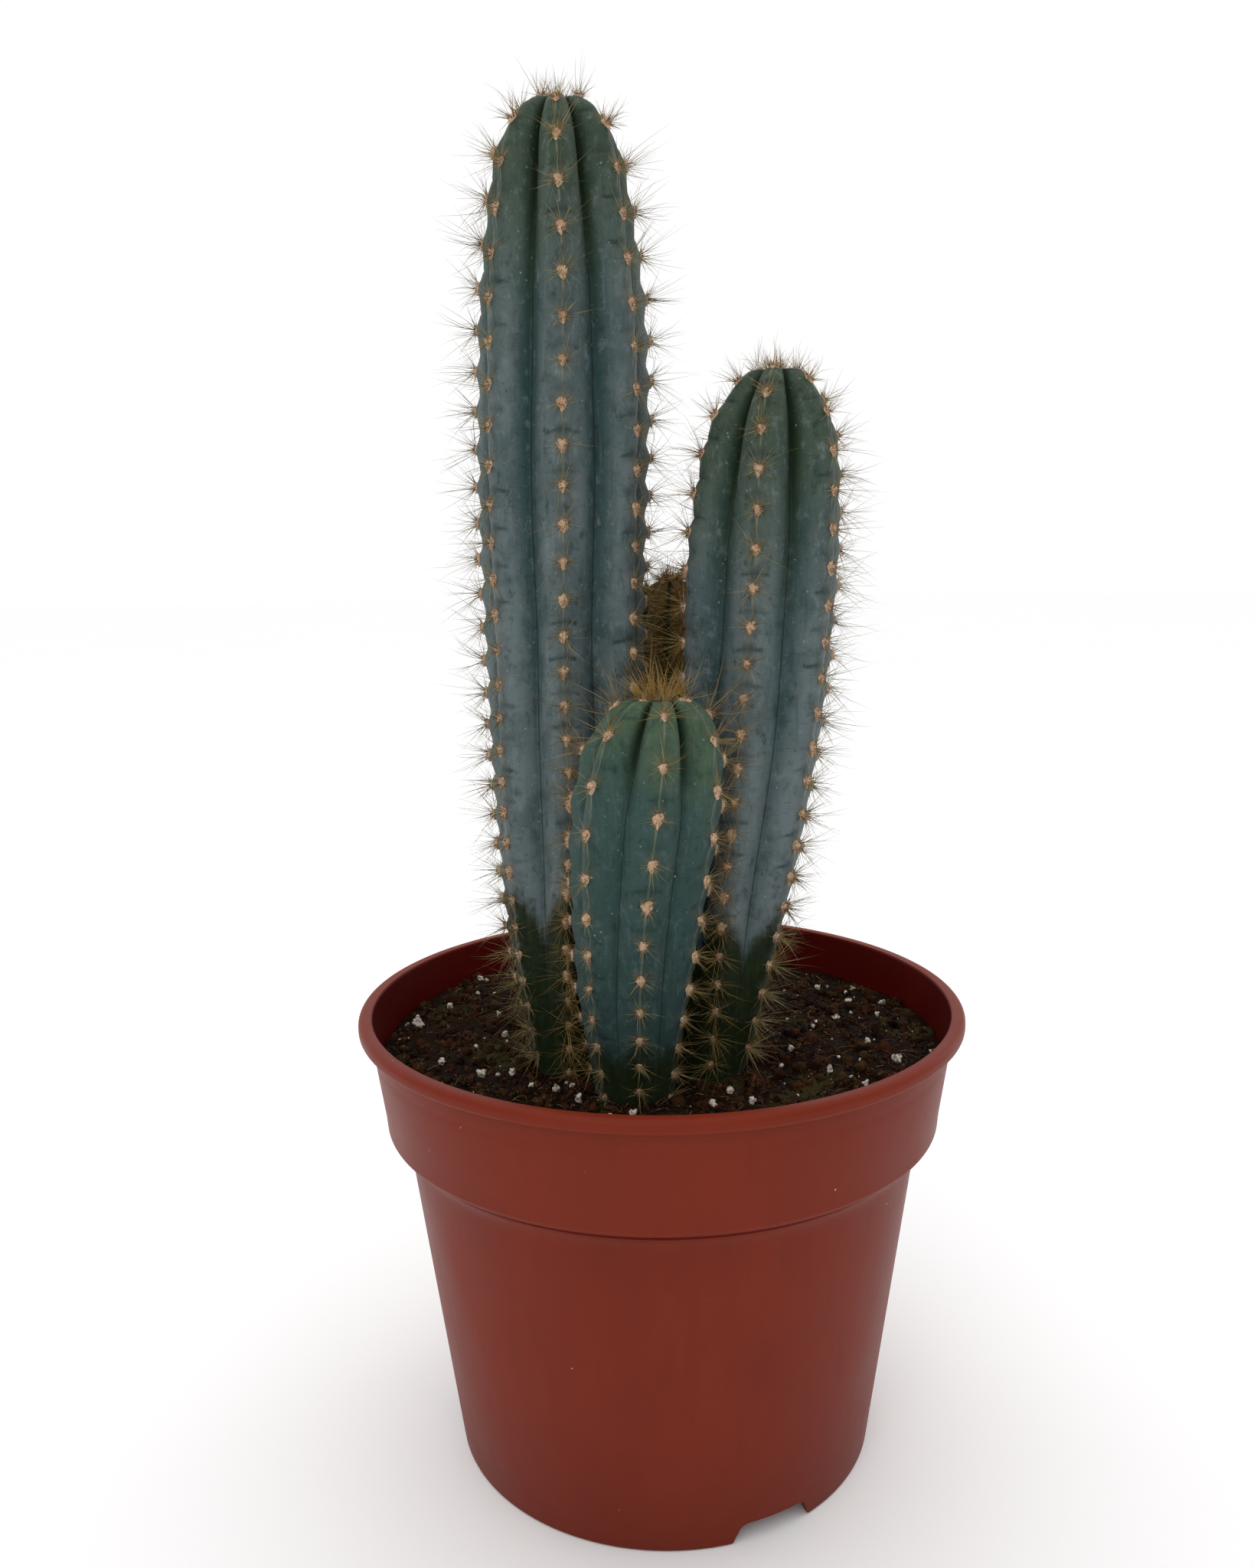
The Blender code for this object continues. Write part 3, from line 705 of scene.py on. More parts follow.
# ---------------------------------------------------------------- stems: the skin
def make_skin(stem, finish):
    """The stem's ribbed skin as one closed mesh, from its buried end to the crown."""
    columns = stem.columns_per_rib * stem.ribs
    rings = int(stem.rings_per_turn * stem.turns)
    turns = (np.arange(1, rings) / rings * stem.turns)[:, None]
    azimuth = (stem.turn + np.arange(columns) * 360.0 / columns)[None, :]
    turns, azimuth = np.broadcast_arrays(turns, azimuth)
    points = stem.skin(turns, azimuth)
    closeness, across, up, pinch, strength = stem.rib_place(turns, azimuth)
    outward = unit(points - stem.axis(points[..., 2]))
    points = points + outward * (0.10 * noise_at(points, 2.4, stem.ribs))[..., None]
    above = points[..., 2] - stem.foot[2]
    wax = above - stem.wax_line - stem.wax_vee * (closeness - 0.5)
    rib = np.stack([across, pinch, 1.0 - up], -1).reshape(-1, 3)
    zone = np.stack([wax, stem.tip[2] - points[..., 2], closeness], -1).reshape(-1, 3)
    made, faces = capped_grid(points)
    # The two poles, at the buried end and at the apex, have values of their own.
    ends = np.array([[0.0, 9.0, 0.5], [0.0, 9.0, 0.5]])
    tips = np.array([[-60.0, 300.0, 0.0], [200.0, 0.0, 0.2]])
    shown = strength.reshape(-1, 1) * np.array([1.0, 0.0, 0.0])
    attributes = {
        "rib": np.concatenate([rib, ends]),
        "zone": np.concatenate([zone, tips]),
        "pinched": np.concatenate([shown, np.zeros((2, 3))]),
    }
    return mesh_object(f"{stem.name}_skin", made, faces, finish, attributes)


# ---------------------------------------------------------------- needles: spines, hairs, fibres
NEEDLE_SIDES = 3
AREOLE_HAIRS = 56
CROWN_HAIRS = 500
CROWN_WOOL_RADIUS = 2.8


def needles(roots, directions, lengths, radii, bends, tones, rust, segments=3):
    """Points, faces and attributes of many tapered, bent, closed needles."""
    count = len(roots)
    first, second = any_frame(directions)
    angle = 2.0 * math.pi * np.arange(NEEDLE_SIDES) / NEEDLE_SIDES
    share = np.arange(segments) / segments
    middle = directions[:, None, :] * share[None, :, None] + bends[:, None, :] * (share**2)[None, :, None]
    middle = roots[:, None, :] + middle * lengths[:, None, None]
    ring = first[:, None, :] * np.cos(angle)[None, :, None]
    ring = ring + second[:, None, :] * np.sin(angle)[None, :, None]
    width = radii[:, None] * (1.0 - 0.85 * share)[None, :]
    body = middle[:, :, None, :] + ring[:, None, :, :] * width[:, :, None, None]
    tips = roots + (directions + bends) * lengths[:, None]
    points = np.concatenate([body.reshape(count, -1, 3), tips[:, None, :]], 1)
    per = segments * NEEDLE_SIDES + 1
    side = np.arange(NEEDLE_SIDES)
    following = (side + 1) % NEEDLE_SIDES
    shell = []
    for step in range(segments - 1):
        low, high = step * NEEDLE_SIDES, (step + 1) * NEEDLE_SIDES
        shell.append(np.stack([low + side, low + following, high + following, high + side], -1))
    quads = np.concatenate(shell)
    last = (segments - 1) * NEEDLE_SIDES
    caps = np.stack([last + side, last + following, np.full(NEEDLE_SIDES, per - 1)], -1)
    ends = np.concatenate([caps, [[2, 1, 0]]])
    faces = copied_faces(quads, count, per) + copied_faces(ends, count, per)
    along = np.append(np.repeat(share, NEEDLE_SIDES), 1.0)
    facts = np.zeros((count, per, 3))
    facts[..., 0] = along
    facts[..., 1] = tones[:, None]
    facts[..., 2] = rust[:, None]
    return points.reshape(-1, 3), faces, facts.reshape(-1, 3)


def wool_pads(stem, rng):
    """Points, faces, tones and sizes of the wool cushions on one stem's areoles."""
    shape, facets = ball(2)
    turns, azimuth = stem.areoles.T
    here, out, up, side = stem.frames(turns, azimuth)
    count = len(turns)
    above = here[:, 2] - stem.foot[2]
    size = (0.64 + 0.28 * smoothstep(0.0, 60.0, above)) * rng.uniform(0.8, 1.16, count)
    taper = 0.5 + 0.5 * smoothstep(-1.0, 0.2, shape[:, 1])
    local = shape * np.array([1.35, 1.35, 0.8])
    local[:, 0] *= taper
    local[:, 1] *= np.where(shape[:, 1] < 0.0, 1.65, 1.0)
    local[:, 2] *= 0.45 + 0.55 * taper
    local = local[None] * size[:, None, None]
    fuzz = 1.0 + rng.normal(0.0, 0.11, (count, len(shape), 1))
    local = local * fuzz
    points = here[:, None] + side[:, None] * local[..., :1] + up[:, None] * local[..., 1:2]
    points = points + out[:, None] * (local[..., 2:] + 0.12)
    faces = copied_faces(facets, count, len(shape))
    tones = np.zeros((count, len(shape), 3))
    tones[..., 0] = rng.uniform(0.0, 1.0, (count, 1))
    tones[..., 1] = (1.0 - smoothstep(4.0, 40.0, above))[:, None]
    return points.reshape(-1, 3), faces, tones.reshape(-1, 3), size


def make_wool(stem, finish, rng):
    """Every areole's wool, and the cushion at the growing point: felt with short hairs."""
    points, faces, tones, size = wool_pads(stem, rng)
    turns, azimuth = stem.areoles.T
    here, out, up, side = stem.frames(turns, azimuth)
    lean_side = rng.uniform(-1.0, 1.0, (len(turns), AREOLE_HAIRS, 1))
    lean_up = rng.uniform(-1.2, 1.0, (len(turns), AREOLE_HAIRS, 1))
    spread = size[:, None, None]
    roots = here[:, None] + side[:, None] * lean_side * 0.95 * spread
    roots = roots + up[:, None] * lean_up * 1.05 * spread
    roots = roots + out[:, None] * (0.62 - 0.38 * (lean_side**2 + lean_up**2)) * spread
    ways = out[:, None] * 0.75 + side[:, None] * lean_side * 0.9 + up[:, None] * lean_up * 0.8
    ways = unit(ways + rng.normal(0.0, 0.3, ways.shape))
    angle = rng.uniform(0.0, 2.0 * math.pi, CROWN_HAIRS)
    away = CROWN_WOOL_RADIUS * np.sqrt(rng.uniform(0.0, 1.0, CROWN_HAIRS))
    disc = level(angle)
    crown_roots = np.array(stem.tip) + disc * away[:, None] - 0.8 * UP
    crown_ways = unit(disc * rng.uniform(0.0, 1.0, (CROWN_HAIRS, 1)) + UP)
    roots = np.concatenate([roots.reshape(-1, 3), crown_roots])
    ways = np.concatenate([ways.reshape(-1, 3), crown_ways])
    count = len(roots)
    bends = rng.normal(0.0, 0.25, (count, 3))
    lengths = rng.uniform(0.6, 1.5, count)
    lengths[-CROWN_HAIRS:] *= 1.9
    radii = rng.uniform(0.045, 0.08, count)
    hue = np.repeat(rng.uniform(0.0, 1.0, len(turns)), AREOLE_HAIRS)
    hue = np.concatenate([hue, np.full(CROWN_HAIRS, 0.3)])
    old = np.zeros(count)
    old[-CROWN_HAIRS:] = 1.0
    hair_points, hair_faces, facts = needles(roots, ways, lengths, radii, bends, hue, old, segments=2)
    hair_tones = np.stack([facts[:, 1], facts[:, 2], np.zeros(len(facts))], -1)
    faces += [[index + len(points) for index in face] for face in hair_faces]
    points = np.concatenate([points, hair_points])
    tones = np.concatenate([tones, hair_tones])
    return mesh_object(f"{stem.name}_wool", points, faces, finish, {"tone": tones})


def spine_fan(stem, rng, radial, central, length, crown_gain):
    """Roots, ways, lengths, rust and tones of every areole's spines: a low fan and a few centrals."""
    turns, azimuth = stem.areoles.T
    here, out, up, side = stem.frames(turns, azimuth)
    count, per = len(turns), radial + central
    above = here[:, 2] - stem.foot[2]
    to_tip = stem.tip[2] - here[:, 2]
    crowded = smoothstep(-16.0, -2.0, depth_in_others(stem, here + out * 3.0))
    crown = 1.0 - smoothstep(4.0, 26.0, to_tip)
    is_central = np.broadcast_to((np.arange(per) >= radial)[None, :], (count, per))
    angle = 2.0 * math.pi * (np.arange(per)[None, :] + rng.uniform(-0.8, 0.8, (count, per))) / radial
    low_rise = rng.uniform(0.1, 0.85, (count, per))
    high_rise = rng.uniform(0.6, 1.5, (count, per))
    rise = np.where(is_central, high_rise, low_rise)
    flat = np.cos(rise)[..., None]
    ways = side[:, None] * (np.sin(angle)[..., None] * flat)
    ways = ways + up[:, None] * (np.cos(angle)[..., None] * flat)
    ways = ways + out[:, None] * np.sin(rise)[..., None]
    ways = unit(ways + UP * (0.2 * crown)[:, None, None])
    ways = unit(ways + rng.normal(0.0, 0.26, ways.shape))
    short = rng.uniform(0.4, 1.15, (count, per))
    long = rng.uniform(0.6, 1.9, (count, per))
    lengths = np.where(is_central, long, short) * length
    lengths = lengths * (1.0 + crown_gain * crown + 0.15 * crowded)[:, None]
    reach = rng.uniform(0.2, 1.1, (count, per, 1))
    roots = here[:, None] + out[:, None] * 0.3 + side[:, None] * (np.sin(angle)[..., None] * reach)
    roots = roots + up[:, None] * (np.cos(angle)[..., None] * reach)
    golden = 0.9 if stem.name == "rear_stem" else 0.0
    rust = np.clip(golden + 0.85 * crowded + 0.6 * crown, 0.0, 1.0)[:, None]
    rust = rust * rng.uniform(0.1, 1.0, (count, per))
    age = 1.0 - smoothstep(0.0, 45.0, above)
    tones = np.clip(rng.uniform(0.0, 0.9, (count, per)) + 0.2 * age[:, None], 0.0, 1.0)
    return roots.reshape(-1, 3), ways.reshape(-1, 3), lengths.ravel(), rust.ravel(), tones.ravel()


def crown_tuft(stem, rng, count, length, fan):
    """Roots, ways and lengths of the spines round the growing point, upright to spread by fan."""
    angle = rng.uniform(0.0, 2.0 * math.pi, count)
    out = np.sqrt(rng.uniform(0.0, 1.0, count))
    spread = level(angle)
    roots = np.array(stem.tip) + spread * (CROWN_WOOL_RADIUS * out)[:, None] - 0.6 * UP
    ways = unit(spread * (fan * out * rng.uniform(0.5, 1.2, count))[:, None] + UP)
    return roots, ways, length * rng.uniform(0.5, 1.15, count)


def make_spines(stem, finish, rng, radial, central, length, crown_gain, tuft, tuft_length, fan):
    """All of one stem's spines as fine bent needles."""
    roots, ways, lengths, rust, tones = spine_fan(stem, rng, radial, central, length, crown_gain)
    more = crown_tuft(stem, rng, tuft, tuft_length, fan)
    roots = np.concatenate([roots, more[0]])
    ways = np.concatenate([ways, more[1]])
    lengths = np.concatenate([lengths, more[2]])
    rust = np.concatenate([rust, rng.uniform(0.2, 1.0, tuft)])
    tones = np.concatenate([tones, rng.uniform(0.0, 1.0, tuft)])
    hit = depth_in_others(stem, roots + ways * lengths[:, None]) > 0.5
    lengths = np.where(hit, lengths * 0.5, lengths)
    count = len(roots)
    bends = rng.normal(0.0, 0.15, (count, 3)) + 0.02 * UP
    thick = REAR_SPINE_RADIUS if stem.name == "rear_stem" else SPINE_RADIUS
    radii = thick * rng.uniform(0.75, 1.25, count)
    points, faces, facts = needles(roots, ways, lengths, radii, bends, tones, rust)
    return mesh_object(f"{stem.name}_spines", points, faces, finish, {"needle": facts})


# Crest, flank, dark marks and painted furrow shade, crown, bare foot, the band just above the foot, and
# rubbed blotches.
BLUE_TONES = (
    (96, 108, 109), (43, 66, 68), (22, 36, 30), (56, 72, 52), (20, 34, 10), (108, 121, 124), (27, 54, 52)
)
TEAL_TONES = (
    (61, 84, 76), (51, 75, 68), (22, 42, 34), (70, 90, 66), (28, 40, 12), (34, 60, 64), (32, 58, 52)
)
OLIVE_TONES = (
    (92, 72, 28), (66, 52, 20), (30, 22, 9), (110, 86, 30), (34, 26, 12), (44, 34, 16), (40, 32, 14)
)
# Low and standing spines on each areole, their length, and how much longer they are at the crown;
# then the crown tuft's spines, their length, and how far they fan out.
SPINE_STYLES = {
    "tall_stem": (20, 16, 7.4, -0.35, 90, 6.2, 1.1),
    "right_stem": (20, 16, 7.4, -0.35, 110, 6.6, 0.7),
    "front_stem": (13, 8, 5.4, 1.1, 110, 12.5, 1.4),
    "rear_stem": (46, 34, 5.0, 0.0, 240, 5.0, 1.8),
}
SPINE_RADIUS = 0.075
REAR_SPINE_RADIUS = 0.085


def make_stems():
    blue = skin_material(
        "blue_green_skin", BLUE_TONES, wax_share=0.5, line_share=0.08, crown_reach=92.0, furrow_shade_reach=78.0
    )
    teal = skin_material(
        "teal_skin", TEAL_TONES, wax_share=0.26, line_share=0.28, crown_reach=46.0, furrow_shade_reach=26.0
    )
    brown = skin_material(
        "olive_brown_skin", OLIVE_TONES, wax_share=0.05, line_share=0.2, crown_reach=80.0, furrow_shade_reach=60.0
    )
    finishes = {"front_stem": teal, "rear_stem": brown}
    wool, horn = wool_material(), spine_material()
    for index, stem in enumerate(STEMS):
        rng = np.random.default_rng(100 + index)
        settle(make_skin(stem, finishes.get(stem.name, blue)), stem.name)
        settle(make_wool(stem, wool, rng))
        settle(make_spines(stem, horn, rng, *SPINE_STYLES[stem.name]))


# ---------------------------------------------------------------- pot
def wall_radius(z):
    """Outer radius of the pot's wall at height z."""
    heights = (0.0, WALL_TOP_Z, COLLAR_FOOT_Z, POT_HEIGHT)
    return np.interp(z, heights, (FOOT_RADIUS, WALL_TOP_RADIUS, COLLAR_FOOT_RADIUS, COLLAR_TOP_RADIUS))


def arc(centre_r, centre_z, radius, start, end, steps):
    """Points of a round corner, with angles in degrees from +R towards +Z."""
    angle = np.radians(np.linspace(start, end, steps + 1))
    return list(zip(centre_r + radius * np.cos(angle), centre_z + radius * np.sin(angle)))


def run(start, end, steps):
    """Points along a straight stretch, without its end."""
    share = np.arange(steps)[:, None] / steps
    return [tuple(point) for point in np.array(start) + (np.array(end) - np.array(start)) * share]


def pot_profile():
    """The section, from the axis along the floor, up inside, over the lip and down outside."""
    floor_top = FLOOR_UNDERSIDE_Z + WALL
    lip_under = POT_HEIGHT - LIP_HEIGHT
    lip_inner = RIM_RADIUS - LIP_WIDTH
    inner_foot = wall_radius(floor_top) - WALL
    inside = run((0.0, floor_top), (inner_foot - 2.0, floor_top), 6)
    inside += arc(inner_foot - 2.0, floor_top + 2.0, 2.0, -90.0, -7.0, 4)
    inside += run((inner_foot + 0.3, floor_top + 4.0), (WALL_TOP_RADIUS - WALL, WALL_TOP_Z), 10)
    inside += run((WALL_TOP_RADIUS - WALL, WALL_TOP_Z), (COLLAR_FOOT_RADIUS - WALL, COLLAR_FOOT_Z), 3)
    inside += run((COLLAR_FOOT_RADIUS - WALL, COLLAR_FOOT_Z), (wall_radius(lip_under) - WALL, lip_under), 5)
    inside += [(wall_radius(lip_under) - WALL, lip_under)]
    lip = arc(lip_inner + 0.9, POT_HEIGHT - 0.9, 0.9, 180.0, 90.0, 5)
    lip += arc(RIM_RADIUS - 1.7, POT_HEIGHT - 1.7, 1.7, 90.0, 0.0, 8)
    lip += arc(RIM_RADIUS - 1.2, lip_under + 1.2, 1.2, 0.0, -90.0, 6)
    collar_top = wall_radius(lip_under)
    collar = arc(collar_top + 1.3, lip_under - 1.3, 1.3, 90.0, 180.0, 7)
    bead_z = lip_under - 5.2
    bead_r = wall_radius(bead_z)
    collar += run((collar_top - 0.1, lip_under - 1.9), (bead_r + 0.08, bead_z + 0.25), 3)
    collar += [(bead_r + 0.08, bead_z), (bead_r, bead_z - 0.35)]
    collar += run((bead_r - 0.02, bead_z - 1.2), (COLLAR_FOOT_RADIUS + 0.45, COLLAR_FOOT_Z + 3.2), 8)
    corner = COLLAR_FOOT_RADIUS - 1.3, COLLAR_FOOT_Z + 1.9
    collar += arc(corner[0], corner[1], 1.75, 0.0, -62.0, 7)
    slope_end = WALL_TOP_RADIUS + 1.7, WALL_TOP_Z + 1.9
    shoulder = run((COLLAR_FOOT_RADIUS - 1.1, COLLAR_FOOT_Z - 0.2), slope_end, 3)
    shoulder += [(WALL_TOP_RADIUS + 1.2, WALL_TOP_Z + 1.35), (WALL_TOP_RADIUS + 0.7, WALL_TOP_Z + 0.65)]
    shoulder += [(WALL_TOP_RADIUS + 0.28, WALL_TOP_Z - 0.3), (WALL_TOP_RADIUS - 0.05, WALL_TOP_Z - 1.5)]
    wall = run((WALL_TOP_RADIUS - 0.36, WALL_TOP_Z - 3.2), (FOOT_RADIUS + 0.12, 1.1), 18)
    foot = arc(FOOT_RADIUS - 0.9, 1.0, 1.0, 0.0, -90.0, 5)
    foot_inner = FOOT_RADIUS - 0.4 - FOOT_RING_WIDTH
    under = [(foot_inner, 0.0), (foot_inner - 0.1, 0.3)]
    under += run((foot_inner - 0.1, 0.6), (foot_inner + 0.2, FLOOR_UNDERSIDE_Z - 0.8), 3)
    under += arc(foot_inner - 0.6, FLOOR_UNDERSIDE_Z - 0.8, 0.8, 0.0, 90.0, 4)
    under += run((foot_inner - 4.0, FLOOR_UNDERSIDE_Z), (0.0, FLOOR_UNDERSIDE_Z), 6)
    return np.array(inside + lip + collar + shoulder + wall + foot + under + [(0.0, FLOOR_UNDERSIDE_Z)])


def solid_of_turning(name, profile, segments, finish):
    """A closed solid of revolution whose profile starts and ends on the axis."""
    angle = 2.0 * math.pi * np.arange(segments) / segments
    body = profile[1:-1]
    rings = body[:, None, :1] * level(angle) + body[:, None, 1:] * UP
    points, faces = capped_grid(rings)
    points[-2] = (0.0, 0.0, profile[0, 1])
    points[-1] = (0.0, 0.0, profile[-1, 1])
    return mesh_object(name, points, faces, finish)


def notch_cutter(azimuth, finish):
    """A wedge-sided block with rounded upper corners."""
    work = bmesh.new()
    bmesh.ops.create_cube(work, size=2.0)
    flare = (NOTCH_WIDTH - NOTCH_TOP_WIDTH) / 2.0 / NOTCH_HEIGHT
    for vert in work.verts:
        top = vert.co.z > 0.0
        half = NOTCH_TOP_WIDTH / 2.0 if top else NOTCH_WIDTH / 2.0 + 2.0 * flare
        vert.co = (half * vert.co.x, -FOOT_RADIUS + 6.0 * vert.co.y, NOTCH_HEIGHT if top else -2.0)
    upper = [edge for edge in work.edges if all(vert.co.z > 0.0 for vert in edge.verts)]
    upper = [edge for edge in upper if abs(edge.verts[0].co.x - edge.verts[1].co.x) < 1e-6]
    bmesh.ops.bevel(work, geom=upper, offset=1.8, segments=4, affect="EDGES", profile=0.5)
    turned = Matrix.Rotation(math.radians(azimuth), 3, "Z")
    bmesh.ops.rotate(work, verts=work.verts, cent=(0, 0, 0), matrix=turned)
    return cutter_from(work, finish)


def drain_cutter(number, finish):
    work = bmesh.new()
    azimuth = 11.0 + 360.0 * number / DRAIN_HOLES
    place = Vector(spoke(azimuth) * DRAIN_CIRCLE) + Vector((0.0, 0.0, FLOOR_UNDERSIDE_Z + WALL / 2.0))
    bmesh.ops.create_cone(
        work, cap_ends=True, segments=40, radius1=DRAIN_RADIUS, radius2=DRAIN_RADIUS, depth=5.0,
        matrix=Matrix.Translation(place),
    )
    return cutter_from(work, finish)


def cutter_from(work, finish):
    bmesh.ops.recalc_face_normals(work, faces=work.faces)
    return mesh_object("cutter", *taken_from(work), finish, smooth=False)


def make_pot():
    finish = pot_material("terracotta_plastic", (118, 40, 21), (111, 36, 18), (101, 33, 17), 0.12)
    # The inner wall is the same plastic in darker, deeper red tones: painted shade inside the pot.
    inner_shaded_finish = pot_material("terracotta_inner_wall_painted_shade", (80, 10, 4), (72, 8, 3), (62, 6, 3), 0.05)
    pot = solid_of_turning("pot_shell", pot_profile(), 256, finish)
    cutters = [notch_cutter(azimuth, finish) for azimuth in NOTCH_AZIMUTHS]
    cutters += [drain_cutter(number, finish) for number in range(DRAIN_HOLES)]
    for cutter in cutters:
        cut = pot.modifiers.new("cut", "BOOLEAN")
        cut.operation = "DIFFERENCE"
        cut.solver = "EXACT"
        cut.object = cutter
    graph = bpy.context.evaluated_depsgraph_get()
    pot.data = bpy.data.meshes.new_from_object(pot.evaluated_get(graph), depsgraph=graph)
    pot.modifiers.clear()
    for cutter in cutters:
        bpy.data.objects.remove(cutter)
    points = np.array([vert.co[:] for vert in pot.data.vertices]) / MM
    out = np.hypot(points[:, 0], points[:, 1])
    inside = (out < wall_radius(points[:, 2]) - 0.7) & (points[:, 2] > FLOOR_UNDERSIDE_Z + 0.5)
    pot.data.materials.append(inner_shaded_finish)
    for face in pot.data.polygons:
        face.material_index = int(all(inside[index] for index in face.vertices))
    layer = pot.data.attributes.new("wall", "FLOAT_VECTOR", "POINT")
    up_share = points[:, 2:] / POT_HEIGHT * np.array([1.0, 0.0, 0.0])
    layer.data.foreach_set("vector", up_share.astype(np.float32).ravel())
    pot.data.shade_smooth()
    pot.data.set_sharp_from_angle(angle=math.radians(38.0))
    settle(pot, "pot")


# ---------------------------------------------------------------- soil
def soil_height(x, y):
    """The CAD soil's height: a mound by the left wall, a low ridge right, a dip about the stems."""
    mound = 3.4 * np.exp(-(((x + 48.0) / 22.0) ** 2) - ((y - 34.0) / 26.0) ** 2)
    ridge = 1.6 * np.exp(-(((x - 42.0) / 26.0) ** 2) - ((y + 12.0) / 16.0) ** 2)
    dip = 1.4 * np.exp(-((x + 4.0) ** 2 + (y + 20.0) ** 2) / 30.0**2)
    places = np.stack([x, y, np.full_like(x, 51.0)], -1)
    return SOIL_LEVEL + mound + ridge - dip + 0.9 * noise_at(places, 17.0)


def soil_surface(x, y):
    """Height of the visible soil, with clods, hollows and grit on the CAD soil's height."""
    places = np.stack([x, y, np.zeros_like(x)], -1)
    clods = 1.1 * noise_at(places, 6.5, 4.0) + 0.7 * noise_at(places, 2.7, 9.0)
    grit = 0.35 * noise_at(places, 1.2, 2.0)
    return soil_height(x, y) + clods + grit


def random_places(rng, count, reach=77.5):
    """Places on the soil, clear of the stems."""
    found = np.zeros((0, 2))
    while len(found) < count:
        angle = rng.uniform(0.0, 2.0 * math.pi, count)
        out = reach * np.sqrt(rng.uniform(0.0, 1.0, count))
        tried = np.stack([out * np.cos(angle), out * np.sin(angle)], -1)
        free = np.ones(count, bool)
        for stem in STEMS:
            away = np.linalg.norm(tried - np.array(stem.foot[:2]), axis=1)
            free &= away > stem.crest[0][1] + 0.3
        found = np.concatenate([found, tried[free]])
    return found[:count]


def make_soil_bed(finish):
    """The root ball: a lumpy top, and sides and a bottom that fill the pot."""
    inset = WALL + GAP
    floor_top = FLOOR_UNDERSIDE_Z + WALL + GAP
    segments, top_rings = 320, 100
    around = level(2.0 * math.pi * np.arange(segments) / segments)
    rim = wall_radius(SOIL_LEVEL) - inset
    top = rim * np.linspace(1.0, 0.01, top_rings)[:, None, None] * around
    top[..., 2] = soil_surface(top[..., 0], top[..., 1])
    heights = (floor_top, 50.0, WALL_TOP_Z, COLLAR_FOOT_Z, 108.0)
    below = [around * (wall_radius(z) - inset) + z * UP for z in heights]
    points, faces = capped_grid(np.concatenate([below, top]))
    tone = np.full(points.shape, 0.5)
    tone[:, 1] = np.abs(noise_at(points, 22.0, 7.0)) * 1.6
    settle(mesh_object("soil_bed", points, faces, finish, {"tone": tone}), "soil")


def lumps(rng, places, sizes, subdivisions, roughness, sink=0.35):
    """Points, faces and tones of many irregular lumps that lie on the soil."""
    shape, facets = ball(subdivisions)
    count = len(places)
    turned = np.linalg.qr(rng.normal(size=(count, 3, 3)))[0]
    turned[:, :, 0] *= np.sign(np.linalg.det(turned))[:, None]
    stretch = rng.uniform(0.6, 1.25, (count, 1, 3))
    bumpy = 1.0 + rng.normal(0.0, roughness, (count, len(shape), 1))
    local = (shape[None] * stretch * bumpy) @ turned
    centre = np.stack([places[:, 0], places[:, 1], soil_surface(places[:, 0], places[:, 1])], -1)
    centre[:, 2] += sizes * (0.5 - sink)
    points = centre[:, None] + local * sizes[:, None, None]
    faces = copied_faces(facets, count, len(shape))
    tones = np.zeros((count, len(shape), 3))
    tones[..., 0] = rng.uniform(0.0, 1.0, (count, 1))
    tones[..., 1] = rng.uniform(0.0, 0.9, (count, 1))
    return points.reshape(-1, 3), faces, tones.reshape(-1, 3)


def make_crumbs(name, rng, finish, count, smallest, largest, subdivisions):
    places = random_places(rng, count)
    sizes = smallest + (largest - smallest) * rng.uniform(0.0, 1.0, count) ** 2.2
    points, faces, tones = lumps(rng, places, sizes, subdivisions, 0.16)
    settle(mesh_object(name, points, faces, finish, {"tone": tones}))


def make_fibres(rng, finish, count=900):
    """Thin peat fibres and bits of root lying over the crumbs."""
    places = random_places(rng, count, 74.0)
    roots = np.stack([places[:, 0], places[:, 1], soil_surface(places[:, 0], places[:, 1]) + 0.2], -1)
    angle = rng.uniform(0.0, 2.0 * math.pi, count)
    ways = unit(level(angle) + rng.uniform(0.05, 0.55, (count, 1)) * UP)
    aside, along = rng.normal(0.0, 0.35, (2, count))
    bends = np.stack([aside, along, rng.uniform(-0.6, -0.1, count)], -1)
    lengths = rng.uniform(2.0, 7.0, count)
    radii = rng.uniform(0.07, 0.2, count)
    tones = rng.uniform(0.0, 1.0, count)
    unused = np.zeros(count)
    points, faces, facts = needles(roots, ways, lengths, radii, bends, tones, unused, segments=5)
    settle(mesh_object("soil_fibres", points, faces, finish, {"needle": facts}))


def make_perlite(rng, finish, chips=420):
    """The CAD's grains, pitted, angular and sunk a little deeper, and finer chips among them."""
    shape, facets = ball(3)
    grains = sorted(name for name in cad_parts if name.startswith("perlite_"))
    for number, node in enumerate(grains):
        low, high = node_box(node)
        lumpy = 0.78 + 0.8 * noise_at(shape, 0.9, number) + 0.3 * noise_at(shape, 0.35, number)
        corners = np.sign(shape) * np.abs(shape) ** 0.7
        points = (low + high) / 2.0 + corners * lumpy[:, None] * (high - low) / 2.0
        points[:, 2] -= 0.3 * (high - low)[2]
        settle(mesh_object(f"{node}_grain", points, facets.tolist(), finish), node)
    places = random_places(rng, chips)
    sizes = 0.15 + 0.65 * rng.uniform(0.0, 1.0, chips) ** 3.0
    points, faces, _ = lumps(rng, places, sizes, 2, 0.13, sink=0.1)
    settle(mesh_object("perlite_fine", points, faces, finish))


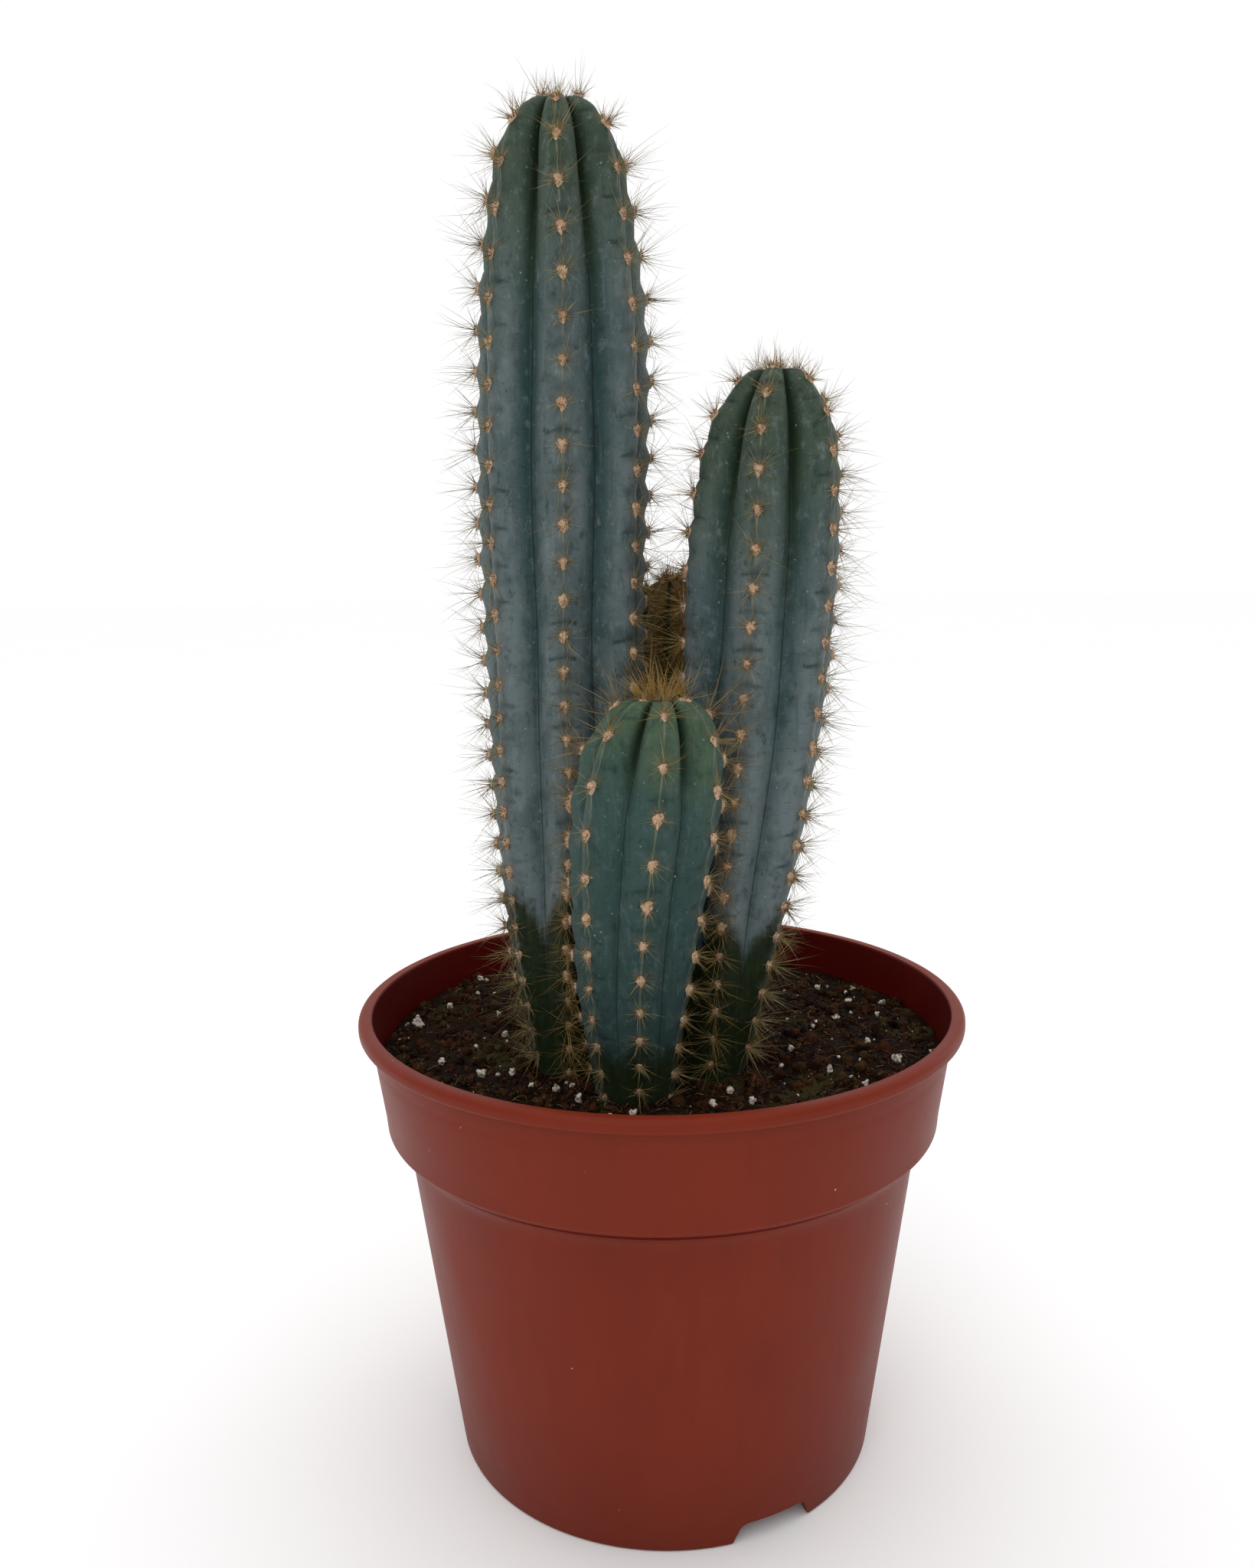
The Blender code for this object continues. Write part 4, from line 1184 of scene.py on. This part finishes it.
def make_soil():
    rng = np.random.default_rng(7)
    bed = soil_material("peat_bed", (9, 3, 2), (33, 16, 8), (100, 70, 40))
    crumb = soil_material("peat_crumb", (10, 4, 2), (68, 36, 18), (176, 140, 92))
    make_soil_bed(bed)
    make_crumbs("soil_crumbs_large", rng, crumb, 1700, 0.4, 2.0, 2)
    make_crumbs("soil_crumbs_small", rng, crumb, 9000, 0.2, 0.75, 1)
    make_fibres(rng, fibre_material())
    make_perlite(rng, perlite_material())


# ---------------------------------------------------------------- stage, light and camera
STAGE_RADIUS = 9000.0
SKY_SLOPE = (0.0, 0.3, 1.06)  # how the surroundings brighten towards +X, +Y and +Z
SKY_STRENGTH = 0.31
CAMERA_PLACE = (0.0, -0.3573, 0.2524)
CAMERA_YAW, CAMERA_PITCH, CAMERA_ROLL = -1.363, 9.73, -0.886
CAMERA_LENS = 29.82


def make_stage():
    n = Nodes("pale_floor")
    n.base = n.mix(n.noise(400.0, detail=2.0), (252, 252, 252), (254, 254, 254))
    finish = n.finish(0.75, Specular_IOR_Level=0.1)
    ring = level(np.radians(np.arange(0, 360, 4))) * STAGE_RADIUS
    floor = mesh_object("floor", ring, [list(range(len(ring)))], finish, smooth=False)


def make_world():
    """Soft white surroundings, brightest behind the object, on a white ground."""
    world = bpy.data.worlds.new("studio")
    bpy.context.scene.world = world
    world.use_nodes = True
    new, link = world.node_tree.nodes.new, world.node_tree.links.new
    way = new("ShaderNodeTexCoord")
    slope = new("ShaderNodeVectorMath")
    slope.operation = "DOT_PRODUCT"
    slope.inputs[1].default_value = SKY_SLOPE
    strength = new("ShaderNodeMath")
    strength.operation = "ADD"
    strength.inputs[1].default_value = SKY_STRENGTH
    sky = world.node_tree.nodes["Background"]
    ground = new("ShaderNodeBackground")
    for shader in (sky, ground):
        shader.inputs["Color"].default_value = (1.0, 1.0, 1.0, 1.0)
    seen = new("ShaderNodeLightPath")
    both = new("ShaderNodeMixShader")
    link(way.outputs["Generated"], slope.inputs[0])
    link(slope.outputs["Value"], strength.inputs[0])
    link(strength.outputs[0], sky.inputs["Strength"])
    link(seen.outputs["Is Camera Ray"], both.inputs[0])
    link(sky.outputs[0], both.inputs[1])
    link(ground.outputs[0], both.inputs[2])
    link(both.outputs[0], world.node_tree.nodes["World Output"].inputs["Surface"])


def area_light(name, place, target, size, power):
    light = bpy.data.lights.new(name, "AREA")
    light.shape = "RECTANGLE"
    light.size, light.size_y = size
    light.energy = power
    made = bpy.data.objects.new(name, light)
    made.location = place
    made.rotation_euler = (Vector(target) - Vector(place)).to_track_quat("-Z", "Y").to_euler()
    bpy.context.scene.collection.objects.link(made)


def make_lights():
    make_world()
    area_light("key", (-0.35, -1.5, 1.05), (0.0, 0.0, 0.18), (1.2, 1.2), 6.5)
    area_light("edge_left", (-1.1, 0.8, 0.4), (0.0, 0.0, 0.12), (0.4, 1.0), 0.8)
    area_light("edge_right", (1.1, 0.8, 0.4), (0.0, 0.0, 0.12), (0.4, 1.0), 1.5)


def make_camera():
    """The photograph's camera: close, above the pot's rim, looking slightly down."""
    yaw, pitch, roll = (math.radians(angle) for angle in (CAMERA_YAW, CAMERA_PITCH, CAMERA_ROLL))
    forward = Vector((math.sin(yaw) * math.cos(pitch), math.cos(yaw) * math.cos(pitch), -math.sin(pitch)))
    right = forward.cross(Vector((0.0, 0.0, 1.0))).normalized()
    up = right.cross(forward)
    rolled_right = math.cos(roll) * right + math.sin(roll) * up
    rolled_up = -math.sin(roll) * right + math.cos(roll) * up
    data = bpy.data.cameras.new("camera")
    data.sensor_width = 36.0
    data.lens = CAMERA_LENS
    data.clip_start = 0.01
    camera = bpy.data.objects.new("camera", data)
    turned = Matrix((rolled_right, rolled_up, -forward)).transposed().to_4x4()
    camera.matrix_world = Matrix.Translation(CAMERA_PLACE) @ turned
    bpy.context.scene.collection.objects.link(camera)
    bpy.context.scene.camera = camera


def main():
    bpy.context.scene.view_settings.view_transform = "Standard"
    make_camera()
    make_stage()
    make_lights()
    make_pot()
    make_soil()
    make_stems()


main()
